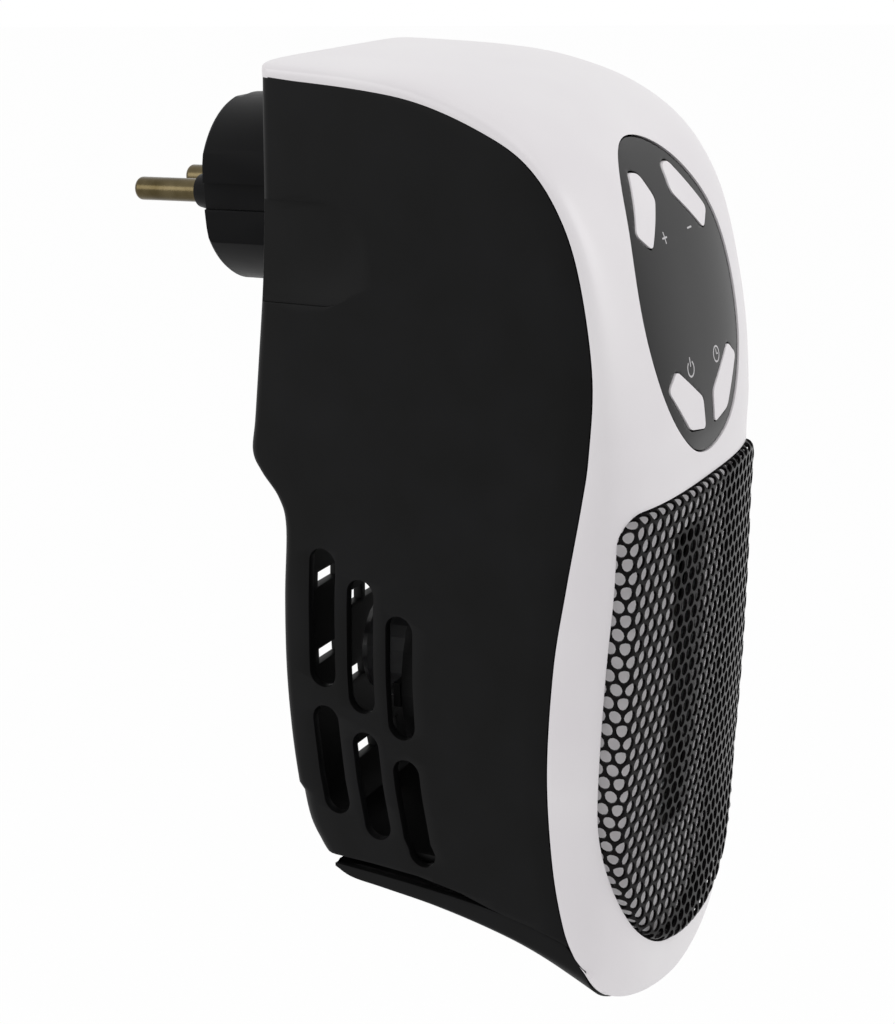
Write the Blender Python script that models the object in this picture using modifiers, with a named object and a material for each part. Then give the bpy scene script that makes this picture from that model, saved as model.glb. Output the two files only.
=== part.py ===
"""Plug-in fan heater: a white front shell over a black rear housing that hangs on its own mains plug.

Units are metres, +Z is up, the heater blows towards -Y and its plug points to +Y. The origin is the middle
of the plug's face, on the line between the two pins. The shape is symmetric about X = 0.
"""

from math import cos, pi, radians, sin, sqrt

import bmesh
import bpy
from mathutils import Matrix, Vector

# Outer size of the body, without the plug
body_depth = 0.078
body_height = 0.190
top_above_plug = 0.0282
back_behind_plug_face = 0.0274
half_width_back = 0.031
half_width_front = 0.0372

# Walls and running clearances
wall = 0.002
seam_gap = 0.0003
slide_gap = 0.0004
overrun = 0.004

# Rear housing
back_corner_radius = 0.0024
low_corner_radius = 0.0044
low_corner_z = -0.1200
vent_width = 0.0063
vent_pitch = 0.0092
intake_height = 0.0032
intake_length = 0.0085
intake_pitch_x = 0.010
intake_top_z = -0.0780
intake_pitch_z = 0.0170
grip_radius = 0.0100
grip_reach = 0.0215
grip_depth = 0.0008
screw_boss_radius = 0.0042
screw_shank_radius = 0.0013
screw_head_radius = 0.0027
screw_head_height = 0.0018
screw_length = 0.012
boss_x = 0.0245
boss_top_z = 0.0155
boss_low_z = -0.0465
boss_length = 0.0172
head_sunk = 0.0094

# Mains plug and its swivel
plug_radius = 0.0192
plug_edge_radius = 0.0022
plug_neck_end = 0.0325
plug_flange_radius = 0.0225
plug_flange_thickness = 0.003
plug_collar_radius = 0.0245
plug_collar_front = 0.0222
plug_flat = 0.0168
guide_width = 0.0054
guide_depth = 0.0016
guide_length = 0.0185
notch_width = 0.015
notch_depth = 0.0006
notch_length = 0.0047
pin_radius = 0.0024
pin_length = 0.019
pin_pitch = 0.019
pin_tail_radius = 0.0015
pin_tail_length = 0.0045
pin_boss_height = 0.0033
pin_boss_base_radius = 0.0046
pin_boss_tip_radius = 0.0034
retainer_thickness = 0.002
retainer_bore_radius = 0.0165
retainer_radius = 0.0245

# Control panel on the dome
panel_half_width = 0.0235
panel_half_height = 0.030
panel_middle_z = -0.018
panel_thickness = 0.002
panel_tilt = radians(16)
button_raise = 0.0004
button_travel = 0.0008
button_cap_thickness = 0.0026
button_corner = 0.0012
stem_radius = 0.0014
board_thickness = 0.0016
switch_side = 0.0060
switch_height = 0.0034
switch_cap_radius = 0.0016
switch_cap_height = 0.0012
control_board_behind_panel = 0.0128
panel_post_radius = 0.0018
panel_post_offset = 0.0200
control_board_width = 0.036
control_board_height = 0.050
display_width = 0.020
display_height = 0.0115
display_thickness = 0.0062

# Outlet: formed steel grille, white bezel behind it, heater behind that
grille_half_width = 0.0335
grille_top_z = -0.0530
grille_bottom_z = -0.1505
grille_corner = 0.0075
grille_sheet = 0.0008
grille_rim_depth = 0.0028
grille_crown = 0.0050
grille_hole_radius = 0.0024
grille_hole_pitch = 0.0064
grille_border = 0.0022
bezel_thickness = 0.0016
bezel_overlap = 0.0016
bezel_recess = 0.0021
rim_back_y = -0.0889
outlet_half_width = 0.0085
outlet_top_z = -0.0635
outlet_bottom_z = -0.1290
ptc_thickness = 0.0026
heater_depth = 0.012
fin_thickness = 0.0007
fin_count = 15
fin_spine = 0.0012
heater_frame_wall = 0.0020
heater_frame_end = 0.0060
heater_front_y = -0.0927
fin_depth = 0.010
baffle_thickness = 0.002
baffle_top_z = -0.0570
baffle_bottom_z = -0.1358

# Fan, motor and duct
fan_z = -0.0970
fan_radius = 0.0255
fan_hub_radius = 0.0085
fan_width = 0.0085
fan_front_y = -0.0634
blade_count = 7
blade_thickness = 0.0010
blade_twist = radians(34)
fan_tip_gap = 0.0011
shaft_radius = 0.0010
shaft_length = 0.0330
motor_radius = 0.0118
motor_length = 0.0165
motor_boss_radius = 0.0032
motor_boss_height = 0.0015
motor_back_y = -0.0299
shaft_fit = 0.00005
bracket_thickness = 0.0016
bracket_arm_width = 0.0050
shroud_wall = 0.0015
shroud_flange = 0.002
shroud_length = 0.0170

# Power electronics
power_board_y = -0.0549
power_board_height = 0.040
power_board_top = 0.0085
relay_size = (0.0150, 0.0155, 0.0190)
capacitor_size = (0.0075, 0.0120, 0.0165)
part_spacing = 0.0190
thermostat_radius = 0.0052
thermostat_height = 0.0050
wire_radius = 0.0009

# Smoothness of the lofts, and the row of the front where the dome's waist is
spans_per_row = 2
waist_row = 9
section_points = 8

back_y = -back_behind_plug_face

# Each row of the front shell: seam point and crest point in shares of depth and height, then the roundness
front_row_shares = (
    ((-0.0275, 0.015), (-0.0275, 0.000), 7.0),
    ((0.251, 0.025), (0.247, 0.007), 6.0),
    ((0.427, 0.037), (0.442, 0.018), 4.5),
    ((0.588, 0.061), (0.628, 0.043), 3.6),
    ((0.705, 0.089), (0.763, 0.084), 3.1),
    ((0.786, 0.132), (0.853, 0.137), 2.8),
    ((0.838, 0.191), (0.912, 0.198), 2.5),
    ((0.869, 0.285), (0.960, 0.291), 2.5),
    ((0.856, 0.364), (0.981, 0.369), 2.6),
    ((0.835, 0.414), (0.976, 0.416), 2.8),
    ((0.788, 0.504), (0.983, 0.501), 3.0),
    ((0.749, 0.588), (0.977, 0.585), 3.0),
    ((0.724, 0.701), (0.958, 0.701), 3.0),
    ((0.732, 0.801), (0.930, 0.806), 3.0),
    ((0.758, 0.869), (0.9169, 0.8830), 2.77),
    ((0.788, 0.901), (0.9080, 0.9360), 2.4),
    ((0.817, 0.915), (0.8800, 0.9830), 2.1),
    ((0.835, 0.920), (0.8440, 0.9960), 1.9),
)

# Each row of the rear housing: place along the seam table above, then the back point in the same shares
rear_row_shares = (
    (0.35, (-0.0255, 0.014)),
    (1.0, (-0.0285, 0.033)),
    (2.0, (-0.0325, 0.059)),
    (3.0, (-0.0375, 0.096)),
    (4.0, (-0.0435, 0.138)),
    (5.0, (-0.0535, 0.185)),
    (6.0, (-0.0665, 0.233)),
    (7.0, (-0.0925, 0.306)),
    (8.0, (-0.1155, 0.369)),
    (8.9, (-0.1295, 0.404)),
    (9.4, (-0.1055, 0.425)),
    (9.7, (-0.0565, 0.451)),
    (10.0, (-0.0385, 0.483)),
    (11.0, (-0.0555, 0.559)),
    (11.5, (-0.0645, 0.633)),
    (12.0, (-0.0625, 0.696)),
    (12.6, (-0.0515, 0.756)),
    (13.0, (-0.0305, 0.812)),
    (13.45, (0.0045, 0.841)),
    (14.75, (0.0300, 0.8530)),
)

# Each row of the bottom cover: its top edge, its lower edge at the side and its middle, in the same shares
cover_row_shares = (
    ((0.070, 0.8605), (0.070, 0.864), (0.070, 0.868)),
    ((0.122, 0.8610), (0.122, 0.8725), (0.122, 0.882)),
    ((0.224, 0.8620), (0.224, 0.8755), (0.224, 0.893)),
    ((0.378, 0.8650), (0.378, 0.8800), (0.378, 0.907)),
    ((0.532, 0.8700), (0.532, 0.8890), (0.532, 0.923)),
    ((0.660, 0.8785), (0.668, 0.9010), (0.660, 0.944)),
    ((0.762, 0.8890), (0.826, 0.9195), (0.8365, 0.9955)),
)

# Middle line of the grille's sheet from its top to its bottom, in the same shares
grille_row_shares = (
    (0.999, 0.385), (0.994, 0.427), (0.982, 0.501), (0.976, 0.569), (0.9615, 0.675), (0.950, 0.738),
    (0.935, 0.806), (0.9335, 0.880), (0.929, 0.940), (0.925, 1.000),
)

# Tapered groove between the housing and the bottom cover, in the same shares
groove_shares = (
    (-0.040, 0.8500),
    (0.190, 0.8500),
    (0.330, 0.8520),
    (0.460, 0.8595),
    (0.545, 0.8692),
    (0.600, 0.8726),
    (0.660, 0.8769),
    (0.720, 0.8830),
    (0.820, 0.8935),
    (0.820, 0.9300),
    (-0.040, 0.9300),
)

# Tops and bottoms of the side vents, column by column from the back, in shares of the body's height
vent_upper_shares = ((0.499, 0.655), (0.527, 0.677), (0.560, 0.698))
vent_lower_shares = ((0.676, 0.800), (0.698, 0.820), (0.720, 0.840))

# Corners of the upper left button, as shares of the panel's half width and half height
upper_button_shares = ((-0.400, 0.807), (-0.255, 0.787), (-0.183, 0.630), (-0.562, 0.360), (-0.753, 0.473))
lower_button_shares = ((-0.575, -0.393), (-0.749, -0.493), (-0.420, -0.790), (-0.110, -0.837), (-0.123, -0.633))

parts = bpy.data.collections.new("fan_heater")
cutters = bpy.data.collections.new("cutters")


def clear_scene():
    for obj in list(bpy.data.objects):
        bpy.data.objects.remove(obj, do_unlink=True)
    bpy.context.scene.collection.children.link(parts)
    bpy.context.scene.collection.children.link(cutters)


def material(name, colour, roughness, metallic=0.0):
    """A Principled material from an sRGB hex colour."""
    made = bpy.data.materials.new(name)
    made.use_nodes = True
    channels = [int(colour[i : i + 2], 16) / 255 for i in (0, 2, 4)]
    linear = [c / 12.92 if c <= 0.04045 else ((c + 0.055) / 1.055) ** 2.4 for c in channels]
    shader = made.node_tree.nodes["Principled BSDF"]
    shader.inputs["Base Color"].default_value = (*linear, 1.0)
    shader.inputs["Roughness"].default_value = roughness
    shader.inputs["Metallic"].default_value = metallic
    made.diffuse_color = (*linear, 1.0)
    return made


def add_object(name, mesh, look=None):
    """Links a mesh as a part, or as a hidden cutter when it has no material."""
    obj = bpy.data.objects.new(name, mesh)
    if look is None:
        cutters.objects.link(obj)
        obj.hide_render = True
        obj.display_type = "WIRE"
    else:
        parts.objects.link(obj)
        mesh.materials.append(look)
    return obj


def mesh_from(bm, name):
    mesh = bpy.data.meshes.new(name)
    bmesh.ops.recalc_face_normals(bm, faces=bm.faces)
    bm.to_mesh(mesh)
    bm.free()
    return mesh


def smooth(obj, angle=radians(35)):
    obj.data.shade_smooth()
    obj.data.set_sharp_from_angle(angle=angle)
    return obj


def place(share):
    """(y, z) of a point given in shares of the body's depth and height."""
    return Vector((back_y - share[0] * body_depth, top_above_plug - share[1] * body_height))


def half_width(y):
    """The body is moulded with draft: it widens from its back to its front."""
    return half_width_back + (half_width_front - half_width_back) * (back_y - y) / body_depth


def curve_through(values, at):
    """Smooth value at a fractional row of a table, through every row (Catmull-Rom)."""
    last = len(values) - 1
    row = min(int(at), last - 1)
    t = at - row
    before, a, b, after = (values[min(max(row + k, 0), last)] for k in (-1, 0, 1, 2))
    if row == 0:
        before = a * 2 - b
    if row == last - 1:
        after = b * 2 - a
    return 0.5 * (
        a * 2 + (b - before) * t + (before * 2 - a * 5 + b * 4 - after) * t**2
        + (a * 3 - before - b * 3 + after) * t**3
    )


seam_rows = [place(row[0]) for row in front_row_shares]
crest_rows = [place(row[1]) for row in front_row_shares]
round_rows = [row[2] for row in front_row_shares]


def steps_of(rows, spans=spans_per_row):
    return [i / spans for i in range((len(rows) - 1) * spans + 1)]


def dome_ring(seam, crest, roundness, points=section_points):
    """Half-oval section from the left seam over the crest to the right seam, with square-ish shoulders."""
    ring = []
    for i in range(2 * points + 1):
        angle = pi * i / (2 * points)
        side = -cos(angle)
        x_share = (1 if side > 0 else -1) * abs(side) ** (2 / roundness)
        rise_share = sin(angle) ** (2 / roundness) if 0 < i < 2 * points else 0.0
        yz = seam + (crest - seam) * rise_share
        ring.append(Vector((x_share * half_width(seam.x), yz.x, yz.y)))
    return ring


def front_rings(push=0.0, first=0):
    """Sections of the front from a row of its table down: over the top, the dome and under the chin."""
    rings = []
    for at in steps_of(front_row_shares)[first * spans_per_row :]:
        seam = curve_through(seam_rows, at)
        crest = curve_through(crest_rows, at)
        crest = crest + (crest - seam).normalized() * push
        rings.append(dome_ring(seam, crest, curve_through(round_rows, at)))
    return rings


def loft(rings, inward=0.0):
    """Open surface through the rings. inward moves it along its own normals, towards the inside."""
    bm = bmesh.new()
    rows = [[bm.verts.new(point) for point in ring] for ring in rings]
    for low, high in zip(rows, rows[1:]):
        for i in range(len(low) - 1):
            bm.faces.new((low[i], low[i + 1], high[i + 1], high[i]))
    bm.normal_update()
    centre = Vector((0, back_y - body_depth / 2, top_above_plug - body_height / 2))
    outward = sum((face.normal.dot(face.calc_center_median() - centre) * face.calc_area() for face in bm.faces))
    if outward < 0:
        bmesh.ops.reverse_faces(bm, faces=bm.faces)
        bm.normal_update()
    if inward:
        moved = [vert.co - vert.normal * inward for vert in bm.verts]
        for vert, co in zip(bm.verts, moved):
            vert.co = co
    return bm


def bm_mesh(bm, name):
    """A mesh of the bmesh as it is, with its normals kept."""
    mesh = bpy.data.meshes.new(name)
    bm.to_mesh(mesh)
    bm.free()
    return mesh


def shell(name, rings, thickness, look=None, inward=0.0):
    """A skin of the given thickness, whose outer face is the loft of the rings."""
    obj = add_object(name, bm_mesh(loft(rings, inward), name), look)
    solid = obj.modifiers.new("thickness", "SOLIDIFY")
    solid.thickness = thickness
    solid.offset = -1
    solid.use_even_offset = False
    return obj


def dome_solid(name, push, inward, back, look=None):
    """The lower dome, run on past the chin, as a solid: its front is the lofted front moved inward."""
    rings = front_rings(push, waist_row)[:-spans_per_row:spans_per_row]
    rings.append([point - Vector((0, 0, body_height / 6)) for point in rings[-1]])
    bm = loft(rings, inward)
    bm.verts.ensure_lookup_table()
    count = len(rings[0])
    rows = [[bm.verts[row * count + i] for i in range(count)] for row in range(len(rings))]
    for row in rows:
        row.append(bm.verts.new((row[-1].co.x, back, row[-1].co.z)))
        row.append(bm.verts.new((row[0].co.x, back, row[0].co.z)))
    for a, b in zip(rows, rows[1:]):
        for i in range(count - 1, count + 2):
            k = (i + 1) % (count + 2)
            bm.faces.new((a[i], a[k], b[k], b[i]))
    bm.faces.new(rows[0])
    bm.faces.new(rows[-1])
    return add_object(name, mesh_from(bm, name), look)


def prism(name, outline, start, length, axis, look=None):
    """A flat outline, given as (across, up), made solid from start along the axis "X" or "Y"."""
    curve = bpy.data.curves.new(name, "CURVE")
    curve.dimensions = "2D"
    curve.fill_mode = "BOTH"
    curve.extrude = abs(length) / 2
    spline = curve.splines.new("POLY")
    spline.points.add(len(outline) - 1)
    for point, (across, up) in zip(spline.points, outline):
        point.co = (across, up, 0, 1)
    spline.use_cyclic_u = True
    drawn = bpy.data.objects.new(name + "_outline", curve)
    middle = start + length / 2
    if axis == "X":
        drawn.matrix_world = Matrix(((0, 0, 1, middle), (1, 0, 0, 0), (0, 1, 0, 0), (0, 0, 0, 1)))
    else:
        drawn.matrix_world = Matrix(((1, 0, 0, 0), (0, 0, -1, middle), (0, 1, 0, 0), (0, 0, 0, 1)))
    return solid_copy(name, drawn, look)


def solid_copy(name, drawn, look=None):
    """Turns a curve object into a mesh object with welded caps and removes the curve."""
    mesh = bpy.data.meshes.new_from_object(drawn)
    place_matrix = drawn.matrix_world.copy()
    bpy.data.objects.remove(drawn, do_unlink=True)
    bm = bmesh.new()
    bm.from_mesh(mesh)
    bmesh.ops.remove_doubles(bm, verts=bm.verts, dist=seam_gap / 100)
    bmesh.ops.recalc_face_normals(bm, faces=bm.faces)
    bm.to_mesh(mesh)
    bm.free()
    mesh.materials.clear()
    mesh.name = name
    obj = add_object(name, mesh, look)
    obj.matrix_world = place_matrix
    return obj


def block(name, size, middle, look=None, turn=0.0):
    """A box of the given size; turn tilts it about the X axis."""
    bm = bmesh.new()
    bmesh.ops.create_cube(bm, size=1, matrix=Matrix.Diagonal((*size, 1)))
    obj = add_object(name, mesh_from(bm, name), look)
    obj.location = middle
    obj.rotation_euler.x = turn
    return obj


def rod(name, radius, length, middle, look=None, axis="Y", sides=24, tip_radius=None, turn=0.0):
    """A cylinder or cone along an axis; tip_radius is its radius at the negative end."""
    bm = bmesh.new()
    bmesh.ops.create_cone(
        bm, cap_ends=True, segments=sides, depth=length,
        radius1=radius if tip_radius is None else tip_radius, radius2=radius,
    )
    obj = add_object(name, mesh_from(bm, name), look)
    obj.location = middle
    quarter = pi / 2
    obj.rotation_euler = {"X": (0, quarter, 0), "Y": (-quarter + turn, 0, 0), "Z": (turn, 0, 0)}[axis]
    if look is not None:
        smooth(obj)
    return obj


def turned(name, profile, look=None, middle=(0, 0, 0), steps=32, closed=False):
    """A turned piece about the Y axis. The profile is (radius, y) from the +Y end to the -Y end."""
    mesh = bpy.data.meshes.new(name)
    points = [(radius, 0, along) for radius, along in profile]
    edges = [(i, i + 1) for i in range(len(points) - 1)]
    if closed:
        edges.append((len(points) - 1, 0))
    mesh.from_pydata(points, edges, [])
    obj = add_object(name, mesh, look)
    screw = obj.modifiers.new("turn", "SCREW")
    screw.steps = screw.render_steps = steps
    screw.use_merge_vertices = True
    screw.merge_threshold = seam_gap / 10
    obj.rotation_euler.x = -pi / 2
    obj.location = middle
    return obj


def boolean(obj, other, operation):
    modifier = obj.modifiers.new(operation.lower(), "BOOLEAN")
    modifier.operation = operation
    modifier.object = other
    return obj


def cut(obj, *others):
    for other in others:
        boolean(obj, other, "DIFFERENCE")
    return obj


def join(obj, *others):
    for other in others:
        boolean(obj, other, "UNION")
    return obj


def keep(obj, other):
    return boolean(obj, other, "INTERSECT")


def ellipse(half_x, half_z, middle_z, count=48):
    return [
        (half_x * cos(2 * pi * i / count), middle_z + half_z * sin(2 * pi * i / count)) for i in range(count)
    ]


def window(inset=0.0, steps=7):
    """Outline of the grille: straight top with round corners, straight sides, rounded bottom, as (x, z)."""
    half = grille_half_width - inset
    top = grille_top_z - inset
    bottom = grille_bottom_z + inset
    corner = grille_corner - inset
    side_end = bottom + half * 1.18
    outline = []
    for i in range(steps):
        angle = pi / 2 * i / (steps - 1)
        outline.append((half - corner + corner * cos(angle), top - corner + corner * sin(angle)))
    outline += [(-x, z) for x, z in reversed(outline)]
    for i in range(2 * steps + 1):
        angle = pi + pi * i / (2 * steps)
        across, down = cos(angle), sin(angle)
        x = half * (1 if across > 0 else -1) * abs(across) ** 0.86
        outline.append((x, side_end + (side_end - bottom) * (-1) * abs(down) ** 0.86))
    return outline


def back_at(z):
    """y of the housing's back wall at a height, read from the housing's own rows."""
    points = [place(row[1]) for row in rear_row_shares]
    for high, low in zip(points, points[1:]):
        if low.y <= z <= high.y:
            return high.x + (low.x - high.x) * (high.y - z) / (high.y - low.y)
    return points[0].x if z > points[0].y else points[-1].x


def rear_ring(seam, back):
    """Section of the housing: side wall, round corner, back wall and the same mirrored."""
    along = (back - seam).normalized()
    start = seam + along * seam_gap
    length = (back - start).length
    radius = back_corner_radius if back.y > low_corner_z else low_corner_radius
    radius = min(radius, length * 0.6)
    left = [Vector((-half_width(start.x), *start))]
    for i in range(5):
        angle = pi / 2 * i / 4
        middle = start + along * (length - radius)
        yz = middle + along * radius * sin(angle)
        inset = radius * (1 - cos(angle))
        left.append(Vector((-(half_width(yz.x) - inset), *yz)))
    return left + [Vector((-p.x, p.y, p.z)) for p in reversed(left)]


def rear_rings():
    rings = []
    ats = [row[0] for row in rear_row_shares]
    backs = [place(row[1]) for row in rear_row_shares]
    for at in steps_of(rear_row_shares, 1):
        seam = curve_through(seam_rows, curve_through(ats, at))
        rings.append(rear_ring(seam, curve_through(backs, at)))
    return rings


def cover_rings():
    rings = []
    tops, edges, middles = ([place(row[k]) for row in cover_row_shares] for k in (0, 1, 2))
    for at in steps_of(cover_row_shares):
        top, edge, middle = (curve_through(rows, at) for rows in (tops, edges, middles))
        ring = dome_ring(edge, middle, round_rows[-1], 7)
        side = Vector((-half_width(top.x), *top))
        rings.append([side, *ring, Vector((-side.x, side.y, side.z))])
    return rings


def vent_outline(column, top_share, bottom_share, arc_steps=4):
    """A side vent as (y, z): a slot with round ends that runs parallel to the housing's back."""
    radius = vent_width / 2
    high = top_above_plug - top_share * body_height - radius
    low = top_above_plug - bottom_share * body_height + radius
    centres = []
    for i in range(4):
        z = high + (low - high) * i / 3
        centres.append(Vector((back_at(z) - (column + 1.09) * vent_pitch, z)))
    outline = []
    for i in range(arc_steps + 1):
        angle = pi * i / arc_steps
        outline.append((centres[0].x + radius * cos(angle), centres[0].y + radius * sin(angle)))
    outline += [(c.x - radius, c.y) for c in centres[1:-1]]
    for i in range(arc_steps + 1):
        angle = pi + pi * i / arc_steps
        outline.append((centres[-1].x + radius * cos(angle), centres[-1].y + radius * sin(angle)))
    outline += [(c.x + radius, c.y) for c in reversed(centres[1:-1])]
    return outline


def cut_vents(housing):
    across = 2 * half_width_front + 2 * overrun
    for column in range(3):
        for spans in (vent_upper_shares, vent_lower_shares):
            cutter = prism(f"vent_cutter_{column}_{spans[0][0]}", vent_outline(column, *spans[column]),
                           -across / 2, across, "X")
            cut(housing, cutter)
    for column in range(4):
        for row in range(3):
            x = (column - 1.5) * intake_pitch_x
            z = intake_top_z - intake_pitch_z * (row + (0.5 if column in (1, 2) else 0))
            cut(housing, block(f"intake_cutter_{column}_{row}", (intake_length, 3 * overrun, intake_height),
                               (x, back_at(z), z)))


def make_rear_housing(look):
    """Black tub with a draft: side walls, rounded back, intake slots, side vents and finger grips."""
    housing = shell("rear_housing", rear_rings(), wall, look)
    collar_length = plug_neck_end - plug_collar_front - seam_gap
    collar_middle = -(plug_collar_front + collar_length / 2)
    join(housing, rod("collar_form", plug_collar_radius, collar_length, (0, collar_middle, 0), sides=40))
    for side in (-1, 1):
        for name, z in (("top", boss_top_z), ("low", boss_low_z)):
            start = back_at(z) - wall / 2
            end = boss_end(z)
            boss = rod(f"boss_form_{name}_{side}", screw_boss_radius, start - end,
                       (side * boss_x, (start + end) / 2, z), sides=16)
            join(housing, boss)
    cut(housing, rod("plug_hole", plug_radius + slide_gap, 4 * overrun + collar_length,
                     (0, collar_middle, 0), sides=40))
    for side in (-1, 1):
        for name, z in (("top", boss_top_z), ("low", boss_low_z)):
            depth = back_at(z) - boss_end(z) + 2 * overrun
            middle = (side * boss_x, (back_at(z) + boss_end(z)) / 2, z)
            cut(housing, rod(f"screw_hole_{name}_{side}", screw_shank_radius + slide_gap, depth, middle, sides=12))
            head_y = screw_head_y(z)
            cut(housing, rod(f"head_hole_{name}_{side}", screw_head_radius + slide_gap, overrun * 3,
                             (side * boss_x, head_y - screw_head_height - seam_gap + overrun * 1.5, z),
                             sides=16))
    cut_vents(housing)
    cut_grips(housing)
    groove = [tuple(place(share)) for share in groove_shares]
    across = 2 * half_width_front + 2 * overrun
    cut(housing, prism("groove_cutter", groove, -across / 2, across, "X"))
    trim_seam(housing, False)
    return housing


def boss_end(z):
    """y where the housing's screw bosses meet those of the front shell."""
    return back_at(z) - boss_length


def screw_head_y(z):
    """y of the outer face of a sunk screw head."""
    return back_at(z) - head_sunk


def cut_grips(housing):
    """A shallow D-shaped finger grip at the back edge of each side."""
    top = grip_radius - plug_radius * 0.39
    centre = (back_y - grip_reach + grip_radius + wall, top - grip_radius)
    outline = [(back_y + overrun * 3, centre[1] - grip_radius)]
    outline += [(back_y + overrun * 3, centre[1] + grip_radius)]
    for i in range(13):
        angle = pi / 2 + pi * i / 12
        outline.append((centre[0] + grip_radius * cos(angle), centre[1] + grip_radius * sin(angle)))
    for side in (-1, 1):
        inner = half_width(centre[0]) - grip_depth
        cutter = prism(f"grip_cutter_{side}", outline, side * inner, side * (overrun + grip_depth), "X")
        slope = (half_width_front - half_width_back) / body_depth
        shear = Matrix.Identity(4)
        shear[0][1] = -side * slope
        shear[0][3] = side * slope * centre[0]
        cutter.data.transform(cutter.matrix_world)
        cutter.matrix_world = Matrix.Identity(4)
        cutter.data.transform(shear)
        cut(housing, cutter)


def make_front_shell(look):
    """White cover: flat top, dome with the panel opening, frame round the grille and rounded chin."""
    front = shell("front_shell", front_rings(), wall, look)
    reach = 2 * body_depth
    for side in (-1, 1):
        for name, z in (("top", boss_top_z), ("low", boss_low_z)):
            start = boss_end(z) - seam_gap
            end = front_inner_y(boss_x, z + (screw_boss_radius if name == "top" else 0))
            boss = rod(f"front_boss_{name}_{side}", screw_boss_radius, start - end,
                       (side * boss_x, (start + end) / 2, z), sides=16)
            join(front, boss)
            cut(front, rod(f"front_pilot_{name}_{side}", screw_shank_radius + seam_gap, screw_length,
                           (side * boss_x, start + overrun - screw_length / 2, z), sides=12))
    opening = prism("panel_opening", ellipse(panel_half_width, panel_half_height, panel_middle_z),
                    -reach, reach + back_y - body_depth / 2, "Y")
    cut(front, opening)
    cut(front, prism("grille_opening", window(), -reach, reach + back_y - body_depth / 2, "Y"))
    cut(front, chin_half("chin_back", 1, -seam_gap / 2))
    trim_seam(front, True)
    return front


def trim_seam(obj, keeps_front):
    """Trims a half's side walls square along the seam, which leaves the seam's gap between the halves."""
    outline = []
    for at in steps_of(front_row_shares):
        point = curve_through(seam_rows, at)
        along = curve_through(seam_rows, at + 0.02) - curve_through(seam_rows, at - 0.02)
        inner = Vector((-along.y, along.x)).normalized()
        outline.append(point + inner * (-seam_gap / 6 if keeps_front else seam_gap))
    first, last = outline[0], outline[-1]
    if keeps_front:
        behind = back_y + body_depth / 2
        outline += [Vector((behind, last.y)), Vector((behind, first.y))]
    else:
        ahead = back_y - 2 * body_depth
        outline += [Vector((ahead, last.y)), Vector((ahead, first.y + wall)),
                    Vector((back_y + 3 * wall, first.y + wall)), Vector((back_y + 3 * wall, first.y))]
    inner_x = half_width_back - wall - seam_gap / 3
    depth = half_width_front - inner_x + overrun
    for side in (-1, 1):
        start = inner_x if side > 0 else -inner_x - depth
        cut(obj, prism(f"{obj.name}_seam_{side}", [tuple(p) for p in outline], start, depth, "X"))


def chin_half(name, side, gap):
    """A cutter for all that lies behind (1) or in front (-1) of the chin's lower rim."""
    seam, crest = seam_rows[-1], crest_rows[-1]
    along = (crest - seam).normalized()
    high = seam - along * wall + Vector((side * gap, 0))
    low = crest + along * overrun + Vector((side * gap, 0))
    deep = Vector((side * 2 * overrun, 0))
    across = 2 * half_width_front + 2 * overrun
    return prism(name, [tuple(p) for p in (high, low, low + deep, high + deep)], -across / 2, across, "X")


def front_inner_y(x, z):
    """y just inside the wall of the front shell at a place on it, for the pieces fixed to it."""
    best = None
    for ring in front_rings():
        for a, b in zip(ring, ring[1:]):
            if (a.x - x) * (b.x - x) <= 0 and a.x != b.x:
                t = (x - a.x) / (b.x - a.x)
                point = a.lerp(b, t)
                if best is None or abs(point.z - z) < abs(best.z - z):
                    best = point
    return best.y + wall * 0.6


def make_panel(look):
    """Dark gloss oval lens, flush in the dome, with an opening for each button."""
    panel = shell("control_panel", front_rings(), panel_thickness, look)
    inside = ellipse(panel_half_width - seam_gap, panel_half_height - seam_gap, panel_middle_z)
    reach = 2 * body_depth
    keep(panel, prism("panel_outline", inside, -reach, reach + back_y - body_depth / 2, "Y"))
    for side in (-1, 1):
        on_board = board_middle + upward * side * panel_post_offset
        foot = on_board - press * (board_thickness / 2 + seam_gap)
        top = dome_point(on_board) + press * panel_thickness / 2
        join(panel, rod(f"panel_post_{side}", panel_post_radius, (top - foot).length, (foot + top) / 2, sides=14,
                        turn=-panel_tilt))
    return panel


def button_outline(shares, side, inset):
    """A button on the left, or mirrored to the right when side is -1, as (x, z) drawn in by inset."""
    corners = [
        Vector((side * x * panel_half_width, panel_middle_z + z * panel_half_height)) for x, z in shares
    ]
    middle = sum(corners, Vector((0, 0))) / len(corners)
    outline = []
    count = len(corners)
    for i, corner in enumerate(corners):
        corner = corner + (middle - corner).normalized() * inset
        before = corners[i - 1] - corner
        after = corners[(i + 1) % count] - corner
        for k in range(4):
            t = k / 3
            a = corner + before.normalized() * button_corner * (1 - t)
            b = corner + after.normalized() * button_corner * t
            outline.append(tuple(a.lerp(b, t) * 0.5 + (corner * 0.5 + a.lerp(b, t) * 0.5) * 0.5))
    return outline


press = Vector((0, cos(panel_tilt), -sin(panel_tilt)))
upward = Vector((0, sin(panel_tilt), cos(panel_tilt)))
panel_front = Vector((0, back_y - 0.953 * body_depth, panel_middle_z))
board_middle = panel_front + press * control_board_behind_panel


def sheared(obj, z_middle):
    """Shears a prism along Y so that it runs along the buttons' travel."""
    obj.data.transform(obj.matrix_world)
    obj.matrix_world = Matrix.Identity(4)
    lean = Matrix.Identity(4)
    lean[2][1] = -sin(panel_tilt) / cos(panel_tilt)
    lean[2][3] = sin(panel_tilt) / cos(panel_tilt) * panel_front.y
    obj.data.transform(lean)
    return obj


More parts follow.
